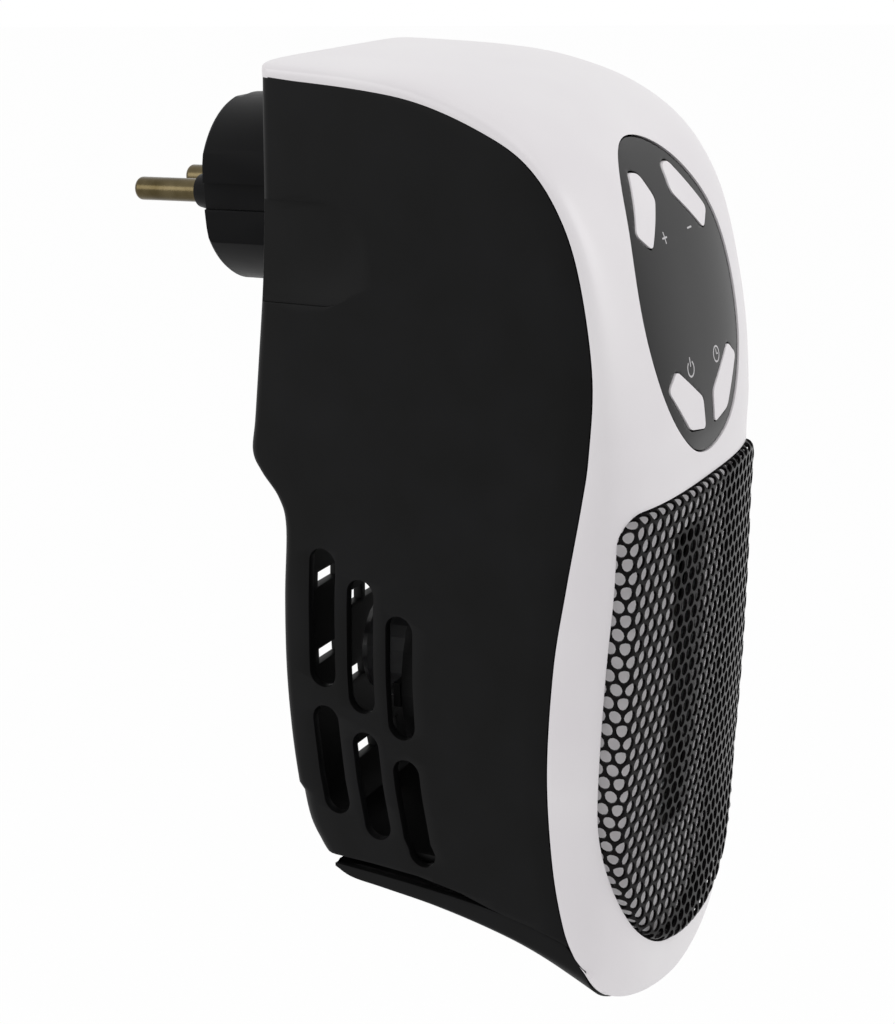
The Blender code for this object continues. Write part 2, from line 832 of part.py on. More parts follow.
def make_buttons(panel, look):
    """Four white caps that slide into the panel, each with a stem down to its switch."""
    layout = (
        ("plus_button", upper_button_shares, 1),
        ("minus_button", upper_button_shares, -1),
        ("power_button", lower_button_shares, 1),
        ("timer_button", lower_button_shares, -1),
    )
    reach = 2 * body_depth
    for name, shares, side in layout:
        hole = prism(name + "_hole", button_outline(shares, side, 0.0), -reach,
                     reach + back_y - body_depth / 2, "Y")
        cut(panel, sheared(hole, panel_middle_z))
        button = shell(name, front_rings(button_raise), button_cap_thickness, look)
        form = prism(name + "_form", button_outline(shares, side, slide_gap * 1.3), -reach,
                     reach + back_y - body_depth / 2, "Y")
        keep(button, sheared(form, panel_middle_z))
        foot, top = stem_ends(shares, side)
        length = (top - foot).length
        join(button, rod(name + "_stem", stem_radius, length, (foot + top) / 2, sides=12, turn=-panel_tilt))


def switch_place(shares, side):
    """Middle of a button on the control board's front face."""
    corners = [Vector((side * x * panel_half_width, z * panel_half_height)) for x, z in shares]
    middle = sum(corners, Vector((0, 0))) / len(corners)
    return board_middle + Vector((middle.x, 0, 0)) + upward * middle.y


def stem_ends(shares, side):
    """A button's stem runs from just above its switch up into its cap."""
    on_board = switch_place(shares, side)
    rise = board_thickness / 2 + switch_height + switch_cap_height + button_travel + 2 * seam_gap
    foot = on_board - press * rise
    surface = dome_point(on_board)
    return foot, surface + press * button_cap_thickness * 0.5


def dome_point(start):
    """Where the line from a place on the board along the buttons' travel meets the dome."""
    best = None
    for ring in front_rings():
        for a, b in zip(ring, ring[1:]):
            if (a.x - start.x) * (b.x - start.x) <= 0 and a.x != b.x:
                point = a.lerp(b, (start.x - a.x) / (b.x - a.x))
                off = abs((point - start).dot(upward))
                if best is None or off < best[0]:
                    best = (off, point)
    reach = (best[1] - start).dot(press)
    return start + press * reach


def make_control_board(looks):
    """Circuit board under the panel with its display and four push switches, held on two posts."""
    block("control_board", (control_board_width, board_thickness, control_board_height),
          board_middle, looks["circuit"], -panel_tilt)
    face = board_thickness / 2 + seam_gap
    for name, shares, side in (
        ("plus_switch", upper_button_shares, 1),
        ("minus_switch", upper_button_shares, -1),
        ("power_switch", lower_button_shares, 1),
        ("timer_switch", lower_button_shares, -1),
    ):
        on_board = switch_place(shares, side)
        body_height_off = switch_height - seam_gap
        switch = block(name, (switch_side, body_height_off, switch_side),
                       on_board - press * (face + body_height_off / 2), looks["black"], -panel_tilt)
        cap = rod(name + "_cap", switch_cap_radius, switch_cap_height * 2,
                  on_board - press * (board_thickness / 2 + switch_height), sides=12, turn=-panel_tilt)
        join(switch, cap)
    block("display_module", (display_width, display_thickness, display_height),
          board_middle - press * (face + display_thickness / 2), looks["display"], -panel_tilt)


def make_plug(looks):
    """Round mains plug with flattened sides, held in the housing's collar by its inner flange."""
    edge = plug_edge_radius
    profile = [(0, 0), (plug_radius - edge, 0)]
    for i in range(1, 5):
        angle = pi / 2 * i / 4
        profile.append((plug_radius - edge + edge * sin(angle), -edge + edge * cos(angle)))
    flange_back = plug_neck_end + plug_flange_thickness
    flat_length = 2 * (plug_neck_end - seam_gap)
    profile += [
        (plug_radius, -plug_neck_end),
        (plug_flange_radius, -plug_neck_end),
        (plug_flange_radius, -flange_back),
        (0, -flange_back),
    ]
    body = turned("plug_body", profile, looks["plug"])
    for side in (-1, 1):
        x = side * pin_pitch / 2
        boss_top = pin_boss_height
        cone = rod(f"pin_boss_{side}", pin_boss_tip_radius, boss_top + wall,
                   (x, (boss_top - wall) / 2, 0), sides=20, tip_radius=pin_boss_base_radius)
        join(body, cone)
        bore_length = flange_back + boss_top + 2 * overrun
        cut(body, rod(f"pin_bore_{side}", pin_radius + seam_gap, bore_length,
                      (x, (boss_top - flange_back) / 2, 0), sides=20))
        cut(body, block(f"flat_cutter_{side}", (2 * (plug_radius - plug_flat), flat_length, 2 * plug_radius),
                        (side * plug_radius, 0, 0)))
        cut(body, block(f"guide_cutter_{side}", (2 * guide_depth, guide_length * 2, guide_width),
                        (side * plug_flat, 0, 0)))
        cut(body, block(f"notch_cutter_{side}", (notch_width, notch_length * 2, 2 * notch_depth),
                        (0, 0, side * plug_radius)))
        smooth(turned(f"plug_pin_{'left' if side < 0 else 'right'}", [
            (0, pin_length),
            (pin_radius * 0.55, pin_length),
            (pin_radius * 0.9, pin_length - pin_radius * 0.35),
            (pin_radius, pin_length - pin_radius * 0.9),
            (pin_radius, -flange_back),
            (pin_tail_radius, -flange_back),
            (pin_tail_radius, -flange_back - pin_tail_length),
            (0, -flange_back - pin_tail_length),
        ], looks["nickel"], (x, 0, 0), steps=20))
    return body


def make_retainer(look):
    """Cup ring screwed over the plug's flange, which holds the plug in the housing's collar."""
    flange_back = plug_neck_end + plug_flange_thickness
    front = -(flange_back + seam_gap)
    cup = plug_flange_radius + slide_gap
    turned("plug_retainer", [
        (retainer_bore_radius, front),
        (cup, front),
        (cup, -plug_neck_end),
        (retainer_radius, -plug_neck_end),
        (retainer_radius, front - retainer_thickness),
        (retainer_bore_radius, front - retainer_thickness),
    ], look, steps=28, closed=True)


def inside(outline, x, z):
    """Whether a point lies in an outline of (x, z) corners."""
    odd = False
    for (ax, az), (bx, bz) in zip(outline, outline[1:] + outline[:1]):
        if (az > z) != (bz > z) and x < ax + (bx - ax) * (z - az) / (bz - az):
            odd = not odd
    return odd


def lens_prism(name, outline, back=None):
    """A cutter through the front of the body, from far in front to its middle or a given depth."""
    reach = 2 * body_depth
    return prism(name, outline, -reach, reach + (back_y - body_depth / 2 if back is None else back), "Y")


def sheet_solid(name, inward, back, look=None, columns=10):
    """The grille's gently crowned front, moved inward, as a solid that runs back to a depth."""
    line = [place(share) for share in grille_row_shares]
    bm = bmesh.new()
    rows = []
    for at in steps_of(line):
        point = curve_through(line, at)
        row = []
        for i in range(columns + 1):
            share = 2 * i / columns - 1
            row.append(bm.verts.new((share * half_width_front, point.x + grille_crown * share**2 + inward, point.y)))
        row.append(bm.verts.new((half_width_front, back, point.y)))
        row.append(bm.verts.new((-half_width_front, back, point.y)))
        rows.append(row)
    count = len(rows[0])
    for a, b in zip(rows, rows[1:]):
        for i in range(count):
            k = (i + 1) % count
            bm.faces.new((a[i], a[k], b[k], b[i]))
    bm.faces.new(rows[0])
    bm.faces.new(rows[-1])
    return add_object(name, mesh_from(bm, name), look)


def make_grille(look):
    """Crowned steel sheet with rows of holes and its edge turned back into the white shell."""
    middle = back_y - body_depth / 2
    grille = sheet_solid("outlet_grille", 0, middle, look)
    keep(grille, lens_prism("grille_outline", window(seam_gap), rim_back_y))
    cut(grille, dome_solid("grille_back", 0, grille_rim_depth, middle + overrun))
    hollow = sheet_solid("grille_hollow", grille_sheet, middle + overrun)
    keep(hollow, lens_prism("grille_hollow_outline", window(seam_gap + grille_sheet)))
    cut(grille, hollow)
    border = window(grille_border + grille_hole_radius)
    row_pitch = grille_hole_pitch * sqrt(3) / 2
    rows = int((grille_top_z - grille_bottom_z) / row_pitch) + 1
    columns = int(grille_half_width / grille_hole_pitch) + 1
    length = body_depth / 2
    bm = bmesh.new()
    for row in range(rows):
        z = grille_top_z - grille_border - grille_hole_radius * 1.6 - row * row_pitch
        for column in range(-columns, columns + 1):
            x = (column + (row % 2) / 2) * grille_hole_pitch
            if not inside(border, x, z):
                continue
            at = Matrix.Translation((x, back_y - body_depth, z)) @ Matrix.Rotation(pi / 2, 4, "X")
            bmesh.ops.create_cone(
                bm, cap_ends=True, segments=6, radius1=grille_hole_radius, radius2=grille_hole_radius,
                depth=length, matrix=at,
            )
    cut(grille, add_object("grille_holes", mesh_from(bm, "grille_holes")))


def make_bezel(look):
    """White plate clipped behind the front shell's opening, with the tall outlet slot in its middle."""
    lip = wall + seam_gap
    middle = back_y - body_depth / 2
    bezel = dome_solid("inner_bezel", 0, lip, middle, look)
    keep(bezel, lens_prism("bezel_outline", window(-bezel_overlap), rim_back_y))
    cut(bezel, dome_solid("bezel_back", 0, lip + bezel_recess + bezel_thickness, middle + overrun))
    field = lens_prism("bezel_field", window())
    cut(field, dome_solid("bezel_field_back", 0, lip + bezel_recess, middle + overrun))
    cut(bezel, field)
    half = outlet_half_width
    slot = [(-half, outlet_bottom_z), (half, outlet_bottom_z), (half, outlet_top_z), (-half, outlet_top_z)]
    cut(bezel, lens_prism("outlet_slot", slot))


def make_heater(looks):
    """Heating element of a ceramic core between two fin stacks, in a frame that closes off the air duct."""
    back = heater_front_y + heater_depth
    half = outlet_half_width + seam_gap
    outer = half + heater_frame_wall
    top = outlet_top_z + heater_frame_end
    bottom = outlet_bottom_z - heater_frame_end
    frame_box = [(-outer, bottom), (outer, bottom), (outer, top), (-outer, top)]
    frame = prism("heater_frame", frame_box, heater_front_y, heater_depth, "Y", looks["heatproof"])
    wide = half_width(back) - wall - seam_gap
    baffle = [(-wide, baffle_bottom_z), (wide, baffle_bottom_z), (wide, baffle_top_z), (-wide, baffle_top_z)]
    join(frame, prism("baffle_form", baffle, back - baffle_thickness, baffle_thickness, "Y"))
    slot_top = outlet_top_z
    slot_bottom = outlet_bottom_z
    slot = [(-half, slot_bottom), (half, slot_bottom), (half, slot_top), (-half, slot_top)]
    cut(frame, prism("heater_slot", slot, heater_front_y - overrun, heater_depth + 2 * overrun, "Y"))
    middle_y = heater_front_y + heater_depth / 2
    middle_z = (slot_top + slot_bottom) / 2
    tall = slot_top - slot_bottom - 2 * seam_gap
    block("heater_core", (ptc_thickness, fin_depth, tall), (0, middle_y, middle_z), looks["ceramic"])
    for side, name in ((-1, "heater_fins_left"), (1, "heater_fins_right")):
        start = ptc_thickness / 2 + seam_gap
        spine = start + fin_spine
        tip = half - seam_gap
        low = middle_z - tall / 2
        outline = [(start, low), (spine, low)]
        for i in range(fin_count):
            z = low + (i + 0.5) * tall / fin_count
            outline += [(spine, z - fin_thickness / 2), (tip, z - fin_thickness / 2),
                        (tip, z + fin_thickness / 2), (spine, z + fin_thickness / 2)]
        outline += [(spine, low + tall), (start, low + tall)]
        outline = [(side * x, z) for x, z in outline]
        prism(name, outline, middle_y - fin_depth / 2, fin_depth, "Y", looks["aluminium"])
    rod("thermal_cutout", thermostat_radius, thermostat_height,
        (outer + 2 * thermostat_radius, back + seam_gap + thermostat_height / 2, top - 2 * thermostat_radius),
        looks["steel"])


def blade(bm, angle):
    """One fan blade: a twisted plate lofted from inside the hub out to the tip."""
    loops = []
    for share in (0.0, 0.5, 1.0):
        radius = fan_hub_radius * 0.9 + (fan_radius - fan_hub_radius * 0.9) * share
        twist = blade_twist * (1 + 0.55 * share)
        half_chord = fan_width / 2 / cos(twist) * 0.92
        along = Vector((sin(twist), cos(twist)))
        across = Vector((cos(twist), -sin(twist)))
        loop = []
        for end, face in ((-1, -1), (1, -1), (1, 1), (-1, 1)):
            flat = along * end * half_chord + across * face * blade_thickness / 2
            turn = angle + flat.x / radius
            loop.append(bm.verts.new((radius * cos(turn), flat.y, radius * sin(turn))))
        loops.append(loop)
    for low, high in zip(loops, loops[1:]):
        for i in range(4):
            k = (i + 1) % 4
            bm.faces.new((low[i], low[k], high[k], high[i]))
    bm.faces.new(loops[0])
    bm.faces.new(reversed(loops[-1]))


def make_fan(looks):
    """Axial fan on its motor's shaft, inside a round shroud that fills the duct."""
    fan_middle = fan_front_y + fan_width / 2
    hub = rod("fan_impeller", fan_hub_radius, fan_width, (0, fan_middle, fan_z), looks["black"], sides=28)
    bm = bmesh.new()
    for i in range(blade_count):
        blade(bm, 2 * pi * i / blade_count)
    blades = add_object("blade_forms", mesh_from(bm, "blade_forms"))
    blades.location = (0, fan_middle, fan_z)
    join(hub, blades)
    cut(hub, rod("hub_bore", shaft_radius + shaft_fit, fan_width + 2 * overrun, (0, fan_middle, fan_z), sides=16))
    motor_front = motor_back_y - motor_length
    shaft_end = fan_front_y + fan_width * 0.1
    rod("fan_shaft", shaft_radius, shaft_length, (0, shaft_end + shaft_length / 2, fan_z), looks["steel"], sides=16)
    motor = turned("fan_motor", [
        (0, motor_back_y),
        (motor_radius * 0.93, motor_back_y),
        (motor_radius, motor_back_y - motor_boss_height),
        (motor_radius, motor_front),
        (motor_boss_radius, motor_front),
        (motor_boss_radius, motor_front - motor_boss_height),
        (0, motor_front - motor_boss_height),
    ], looks["steel"], (0, 0, fan_z), steps=28)
    cut(motor, rod("motor_bore", shaft_radius + shaft_fit, shaft_length,
                   (0, shaft_end + shaft_length / 2 + seam_gap, fan_z), sides=16))
    bracket_middle = motor_front - seam_gap - bracket_thickness / 2
    inner = fan_radius + fan_tip_gap
    arm = 2 * (inner + shroud_wall)
    bracket = block("motor_bracket", (arm, bracket_thickness, bracket_arm_width),
                    (0, bracket_middle, fan_z), looks["black"])
    join(bracket, block("bracket_upright", (bracket_arm_width, bracket_thickness, arm),
                        (0, bracket_middle, fan_z)))
    join(bracket, rod("bracket_disc", motor_radius, bracket_thickness, (0, bracket_middle, fan_z), sides=28))
    cut(bracket, rod("bracket_hole", motor_boss_radius + seam_gap, bracket_thickness + 2 * overrun,
                     (0, bracket_middle, fan_z), sides=20))
    ring_back = bracket_middle - bracket_thickness / 2 - seam_gap
    ring_front = ring_back - shroud_length
    wide = half_width(ring_front + shroud_flange) - wall - seam_gap
    plate = block("fan_shroud", (2 * wide, shroud_flange, 2 * wide),
                  (0, ring_front + shroud_flange / 2, fan_z), looks["black"])
    ring_middle = ring_back - shroud_length / 2
    join(plate, rod("shroud_ring", inner + shroud_wall, shroud_length, (0, ring_middle, fan_z), sides=40))
    cut(plate, rod("shroud_bore", inner, shroud_length + 2 * overrun, (0, ring_middle, fan_z), sides=40))


def make_power_board(looks):
    """Power board behind the control board, with its relays and capacitor."""
    wide = half_width(power_board_y) - wall - seam_gap
    middle_z = power_board_top - power_board_height / 2
    block("power_board", (2 * wide, board_thickness, power_board_height), (0, power_board_y, middle_z),
          looks["circuit"])
    face = power_board_y - board_thickness / 2 - seam_gap
    for name, column in (("relay_left", -1), ("relay_right", 0)):
        block(name, relay_size, (column * part_spacing, face - relay_size[1] / 2, middle_z), looks["component"])
    block("mains_capacitor", capacitor_size, (part_spacing, face - capacitor_size[1] / 2, middle_z), looks["red"])


def lead(name, points, look):
    """An insulated wire through the given points."""
    curve = bpy.data.curves.new(name, "CURVE")
    curve.dimensions = "3D"
    curve.bevel_depth = wire_radius
    curve.bevel_resolution = 1
    curve.use_fill_caps = True
    spline = curve.splines.new("POLY")
    spline.points.add(len(points) - 1)
    for point, co in zip(spline.points, points):
        point.co = (*co, 1)
    obj = bpy.data.objects.new(name, curve)
    parts.objects.link(obj)
    curve.materials.append(look)


def make_leads(looks):
    """Pairs of wires from the plug, to the heater and to the motor, with one point for each bend."""
    plug_tail = -(plug_neck_end + plug_flange_thickness + pin_tail_length + seam_gap)
    board_back = power_board_y + board_thickness / 2 + seam_gap
    board_front = power_board_y - board_thickness / 2 - seam_gap
    low_z = power_board_top - power_board_height + 4 * wire_radius
    frame_top = outlet_top_z + heater_frame_end + seam_gap
    heater_y = heater_front_y + heater_depth / 2
    motor_top = fan_z + motor_radius + seam_gap
    motor_y = motor_back_y - motor_length / 2
    bend = 4 * wire_radius
    for side, end in ((-1, "left"), (1, "right")):
        x = side * pin_pitch / 2
        lead(f"plug_lead_{end}", [
            (x, plug_tail, 0), (x, plug_tail - bend, -bend / 2), (x, board_back + bend, -3 * bend),
            (x, board_back, -3 * bend),
        ], looks["red"] if side < 0 else looks["component"])
        x = side * outlet_half_width
        lead(f"heater_lead_{end}", [
            (x, board_front, low_z), (x, board_front - bend, low_z - bend / 2),
            (x, heater_y + bend, frame_top + 2 * bend), (x, heater_y, frame_top + bend), (x, heater_y, frame_top),
        ], looks["red"])
        x = side * 2 * wire_radius
        lead(f"motor_lead_{end}", [
            (x, board_back, low_z), (x, board_back + bend, low_z - bend / 2),
            (x, motor_y + bend, motor_top + 4 * bend), (x, motor_y, motor_top + bend), (x, motor_y, motor_top),
        ], looks["component"])


def make_screws(look):
    """Four screws from the back, sunk in the housing's bosses, that hold the two halves together."""
    for z, level in ((boss_top_z, "top"), (boss_low_z, "low")):
        for side, end in ((-1, "left"), (1, "right")):
            head = screw_head_y(z)
            under = head - screw_head_height
            turned(f"screw_{level}_{end}", [
                (0, head), (screw_head_radius, head), (screw_head_radius, under),
                (screw_shank_radius, under), (screw_shank_radius, under - screw_length + screw_shank_radius),
                (0, under - screw_length),
            ], look, (side * boss_x, 0, z), steps=14)


clear_scene()
looks = {
    "white": material("white_abs", "DAD7DA", 0.32),
    "black": material("black_abs", "1E1E1E", 0.48),
    "plug": material("black_plug", "1C1C1E", 0.42),
    "panel": material("dark_gloss", "3C3B3C", 0.12),
    "grille": material("black_steel", "1A1718", 0.22, 0.3),
    "nickel": material("nickel_brass", "A89878", 0.28, 1.0),
    "steel": material("zinc_steel", "8E9092", 0.35, 1.0),
    "aluminium": material("aluminium", "B4B6B8", 0.40, 1.0),
    "circuit": material("green_board", "1F5A38", 0.45),
    "display": material("smoked_display", "161618", 0.15),
    "ceramic": material("ceramic", "6A625C", 0.60),
    "heatproof": material("heatproof_plastic", "3A3835", 0.50),
    "component": material("component_blue", "2C5A8C", 0.40),
    "red": material("red_sleeve", "A02C28", 0.45),
}
make_rear_housing(looks["black"])
cover = shell("bottom_cover", cover_rings(), wall, looks["black"])
cut(cover, chin_half("chin_front", -1, -seam_gap))
trim_seam(cover, False)
make_front_shell(looks["white"])
panel = make_panel(looks["panel"])
make_buttons(panel, looks["white"])
make_control_board(looks)
make_plug(looks)
make_retainer(looks["black"])
make_grille(looks["grille"])
make_bezel(looks["white"])
make_heater(looks)
make_fan(looks)
make_power_board(looks)
make_leads(looks)
make_screws(looks["steel"])
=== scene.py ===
from math import atan2, cos, pi, radians, sin, sqrt

import bpy
import numpy as np
from mathutils import Matrix, Vector


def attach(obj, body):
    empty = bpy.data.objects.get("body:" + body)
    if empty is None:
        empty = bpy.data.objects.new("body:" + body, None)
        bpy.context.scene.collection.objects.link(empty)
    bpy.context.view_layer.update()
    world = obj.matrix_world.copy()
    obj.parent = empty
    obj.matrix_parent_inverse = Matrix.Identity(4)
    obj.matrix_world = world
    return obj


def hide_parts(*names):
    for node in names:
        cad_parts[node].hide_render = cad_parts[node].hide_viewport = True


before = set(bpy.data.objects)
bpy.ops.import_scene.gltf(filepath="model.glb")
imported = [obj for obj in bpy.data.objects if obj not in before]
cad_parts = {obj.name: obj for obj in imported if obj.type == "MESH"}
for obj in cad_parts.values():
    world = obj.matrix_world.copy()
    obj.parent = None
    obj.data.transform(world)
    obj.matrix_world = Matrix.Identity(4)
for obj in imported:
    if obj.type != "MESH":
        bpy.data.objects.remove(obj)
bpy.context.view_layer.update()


# Camera. It stands to the left and in front of the heater, a little above the plug, level with the
# upper part, and leans by two degrees as the photograph does. The lens is that of a 36 mm long frame.
camera_place = Vector((-0.37484, -0.24383, 0.0605))
camera_azimuth = radians(27.85)
camera_elevation = radians(16.707)
camera_roll = radians(-2.219)
camera_lens = 74.70

bpy.ops.object.select_all(action="DESELECT")
bpy.ops.object.camera_add(location=camera_place)
camera = bpy.context.object
camera.name = "camera"
camera.data.lens = camera_lens
camera.data.sensor_width = 36.0
camera.data.clip_start = 0.01
back = Vector((-cos(camera_azimuth) * cos(camera_elevation), -sin(camera_azimuth) * cos(camera_elevation),
               sin(camera_elevation)))
level = Vector((sin(camera_azimuth), -cos(camera_azimuth), 0))
upright = back.cross(level)
right = level * cos(camera_roll) + upright * sin(camera_roll)
up = upright * cos(camera_roll) - level * sin(camera_roll)
turn = Matrix((right, up, back)).transposed().to_4x4()
camera.matrix_world = Matrix.Translation(camera_place) @ turn
bpy.context.scene.camera = camera


# Studio. A pale floor far under the heater, which hangs on its plug, under broad soft lamps. What the
# camera and the gloss see of the floor and the world is plain white, as behind the photographed heater.
floor_height = -0.42
floor_size = 12.0


def linear(colour):
    """An sRGB hex colour as linear RGBA."""
    channels = [int(colour[i : i + 2], 16) / 255 for i in (0, 2, 4)]
    return (*[c / 12.92 if c <= 0.04045 else ((c + 0.055) / 1.055) ** 2.4 for c in channels], 1.0)


def add(tree, kind, settings=(), links=()):
    """Adds a node. Settings name its properties or sockets, and links name its sockets with their sources."""
    made = tree.nodes.new(kind)
    for name, value in dict(settings).items():
        if isinstance(name, int) or name in made.inputs:
            made.inputs[name].default_value = value
        else:
            setattr(made, name, value)
    for name, source in dict(links).items():
        tree.links.new(source, made.inputs[name])
    return made


def new_material(name):
    """An empty node material: its tree, its Principled shader and itself."""
    made = bpy.data.materials.new(name)
    made.use_nodes = True
    return made, made.node_tree, made.node_tree.nodes["Principled BSDF"]


bpy.ops.object.select_all(action="DESELECT")
bpy.ops.mesh.primitive_plane_add(size=floor_size, location=(0, 0, floor_height))
floor = bpy.context.object
floor.name = "studio_floor"
floor_paint = bpy.data.materials.new("pale_floor")
floor_paint.use_nodes = True
tree = floor_paint.node_tree
tree.nodes.clear()
seen = add(tree, "ShaderNodeLightPath")
matt = add(tree, "ShaderNodeBsdfDiffuse", {"Color": linear("E8E8E8")})
white = add(tree, "ShaderNodeEmission", {"Color": (1, 1, 1, 1), "Strength": 1.0})
glossy = add(tree, "ShaderNodeMath", {"operation": "MAXIMUM"},
             {0: seen.outputs["Is Camera Ray"], 1: seen.outputs["Is Glossy Ray"]})
share = add(tree, "ShaderNodeMath", {"operation": "MULTIPLY", 1: 0.97}, {0: glossy.outputs[0]})
mixed = add(tree, "ShaderNodeMixShader", {},
            {0: share.outputs[0], 1: matt.outputs[0], 2: white.outputs[0]})
add(tree, "ShaderNodeOutputMaterial", {}, {"Surface": mixed.outputs[0]})
floor.data.materials.append(floor_paint)

sky = bpy.data.worlds.new("studio")
bpy.context.scene.world = sky
sky.use_nodes = True
tree = sky.node_tree
tree.nodes.clear()
seen = add(tree, "ShaderNodeLightPath")
direct = add(tree, "ShaderNodeMath", {"operation": "MAXIMUM"},
             {0: seen.outputs["Is Camera Ray"], 1: seen.outputs["Is Glossy Ray"]})
through = add(tree, "ShaderNodeMath", {"operation": "MAXIMUM"},
              {0: direct.outputs[0], 1: seen.outputs["Is Transmission Ray"]})
dim = add(tree, "ShaderNodeBackground", {"Color": (1, 1, 1, 1), "Strength": 0.76})
bright = add(tree, "ShaderNodeBackground", {"Color": (1, 1, 1, 1), "Strength": 1.0})
mixed = add(tree, "ShaderNodeMixShader", {}, {0: through.outputs[0], 1: dim.outputs[0], 2: bright.outputs[0]})
add(tree, "ShaderNodeOutputWorld", {}, {"Surface": mixed.outputs[0]})

for name, place, size, watts in (
    ("lamp_above", (-0.35, -0.35, 0.95), 0.9, 1.6),
    ("lamp_behind_left", (-0.75, 0.65, 0.25), 0.5, 2.0),
    ("lamp_front", (0.25, -1.0, 0.35), 0.6, 2.4),
):
    bpy.ops.object.light_add(type="AREA", location=place)
    lamp = bpy.context.object
    lamp.name = name
    lamp.data.shape = "SQUARE"
    lamp.data.size = size
    lamp.data.energy = watts
    lamp.rotation_euler = (Vector((0, -0.05, -0.06)) - Vector(place)).to_track_quat("-Z", "Y").to_euler()

bpy.context.scene.view_settings.view_transform = "Standard"


# Rear housing. A deep tub moulded in black ABS with a draft, fine spark-eroded skin and a rounded back.
# Its sides carry six air slots and a shallow finger grip each, its back an intake grid and a collar that
# holds the plug. Screws in sunk bosses hold it to the white shell.
body_depth = 0.078
body_height = 0.190
top_z = 0.0282
back_y = -0.0274
half_back = 0.031
half_front = 0.0372
wall = 0.002
seam_gap = 0.0003
outline_shares = (
    ((-0.0275, 0.015), (-0.0275, 0.000), 7.0), ((0.251, 0.025), (0.247, 0.007), 6.0),
    ((0.427, 0.037), (0.442, 0.018), 4.5), ((0.588, 0.061), (0.628, 0.043), 3.6),
    ((0.705, 0.089), (0.763, 0.084), 3.1), ((0.786, 0.132), (0.853, 0.137), 2.8),
    ((0.838, 0.191), (0.912, 0.198), 2.5), ((0.869, 0.285), (0.960, 0.291), 2.5),
    ((0.856, 0.364), (0.981, 0.369), 2.6), ((0.835, 0.414), (0.976, 0.416), 2.8),
    ((0.788, 0.504), (0.983, 0.501), 3.0), ((0.749, 0.588), (0.977, 0.585), 3.0),
    ((0.724, 0.701), (0.958, 0.701), 3.0), ((0.732, 0.801), (0.930, 0.806), 3.0),
    ((0.758, 0.869), (0.9169, 0.8830), 2.77), ((0.788, 0.901), (0.9182, 0.9253), 2.18),
    ((0.817, 0.915), (0.8869, 0.9919), 1.8), ((0.835, 0.920), (0.8637, 0.9868), 1.8),
)
housing_shares = (
    (0.35, (-0.0255, 0.014)), (1.0, (-0.0285, 0.033)), (2.0, (-0.0325, 0.059)), (3.0, (-0.0375, 0.096)),
    (4.0, (-0.0435, 0.138)), (5.0, (-0.0535, 0.185)), (6.0, (-0.0665, 0.233)), (7.0, (-0.0925, 0.306)),
    (8.0, (-0.1155, 0.369)), (8.9, (-0.1295, 0.404)), (9.4, (-0.1055, 0.425)), (9.7, (-0.0565, 0.451)),
    (10.0, (-0.0385, 0.483)), (11.0, (-0.0555, 0.559)), (11.5, (-0.0645, 0.633)), (12.0, (-0.0625, 0.696)),
    (12.6, (-0.0515, 0.756)), (13.0, (-0.0305, 0.812)), (13.45, (0.0045, 0.841)), (14.8, (0.0300, 0.854)),
)


def along(share):
    """(y, z) of a point given in shares of the body's depth and height."""
    return np.array((back_y - share[0] * body_depth, top_z - share[1] * body_height))


def through_rows(values, at):
    """Smooth value at fractional rows of a table, through every row. Rows may be one number or many."""
    values = np.asarray(values, float)
    at = np.asarray(at, float)
    last = len(values) - 1
    row = np.clip(at.astype(int), 0, last - 1)
    t = (at - row).reshape(at.shape + (1,) * (values.ndim - 1))
    a, b = values[row], values[row + 1]
    ahead = np.where((row == 0).reshape(t.shape), a * 2 - b, values[np.maximum(row - 1, 0)])
    after = np.where((row == last - 1).reshape(t.shape), b * 2 - a, values[np.minimum(row + 2, last)])
    return 0.5 * (a * 2 + (b - ahead) * t + (ahead * 2 - a * 5 + b * 4 - after) * t**2
                  + (a * 3 - ahead - b * 3 + after) * t**3)


seam_rows = np.array([along(row[0]) for row in outline_shares])
crest_rows = np.array([along(row[1]) for row in outline_shares])
round_rows = np.array([row[2] for row in outline_shares])
last_row = len(outline_shares) - 1


def half_width(y):
    return half_back + (half_front - half_back) * (back_y - y) / body_depth


def drape(name, columns, rows, place):
    """Adds a grid and lays each point where place(u, v) says: u runs across and v down, from 0 to 1."""
    bpy.ops.object.select_all(action="DESELECT")
    bpy.ops.mesh.primitive_grid_add(x_subdivisions=columns, y_subdivisions=rows, size=1)
    skin = bpy.context.object
    skin.name = skin.data.name = name
    for vert in skin.data.vertices:
        vert.co = place(min(max(vert.co.x + 0.5, 0.0), 1.0), min(max(0.5 - vert.co.y, 0.0), 1.0))
    return skin


def face_outward(piece, centre=(0, -0.0675, -0.067)):
    """Turns an open skin so that its faces point away from the middle of the heater."""
    middle = Vector(centre)
    outward = sum(face.normal.dot(face.center - middle) * face.area for face in piece.data.polygons)
    if outward < 0:
        piece.data.flip_normals()
    return piece


def use(piece, kind, **settings):
    """Adds a modifier with its settings and applies it."""
    modifier = piece.modifiers.new(kind.lower(), kind)
    for name, value in settings.items():
        setattr(modifier, name, value)
    bpy.ops.object.select_all(action="DESELECT")
    bpy.context.view_layer.objects.active = piece
    bpy.ops.object.modifier_apply(modifier=modifier.name)
    return piece


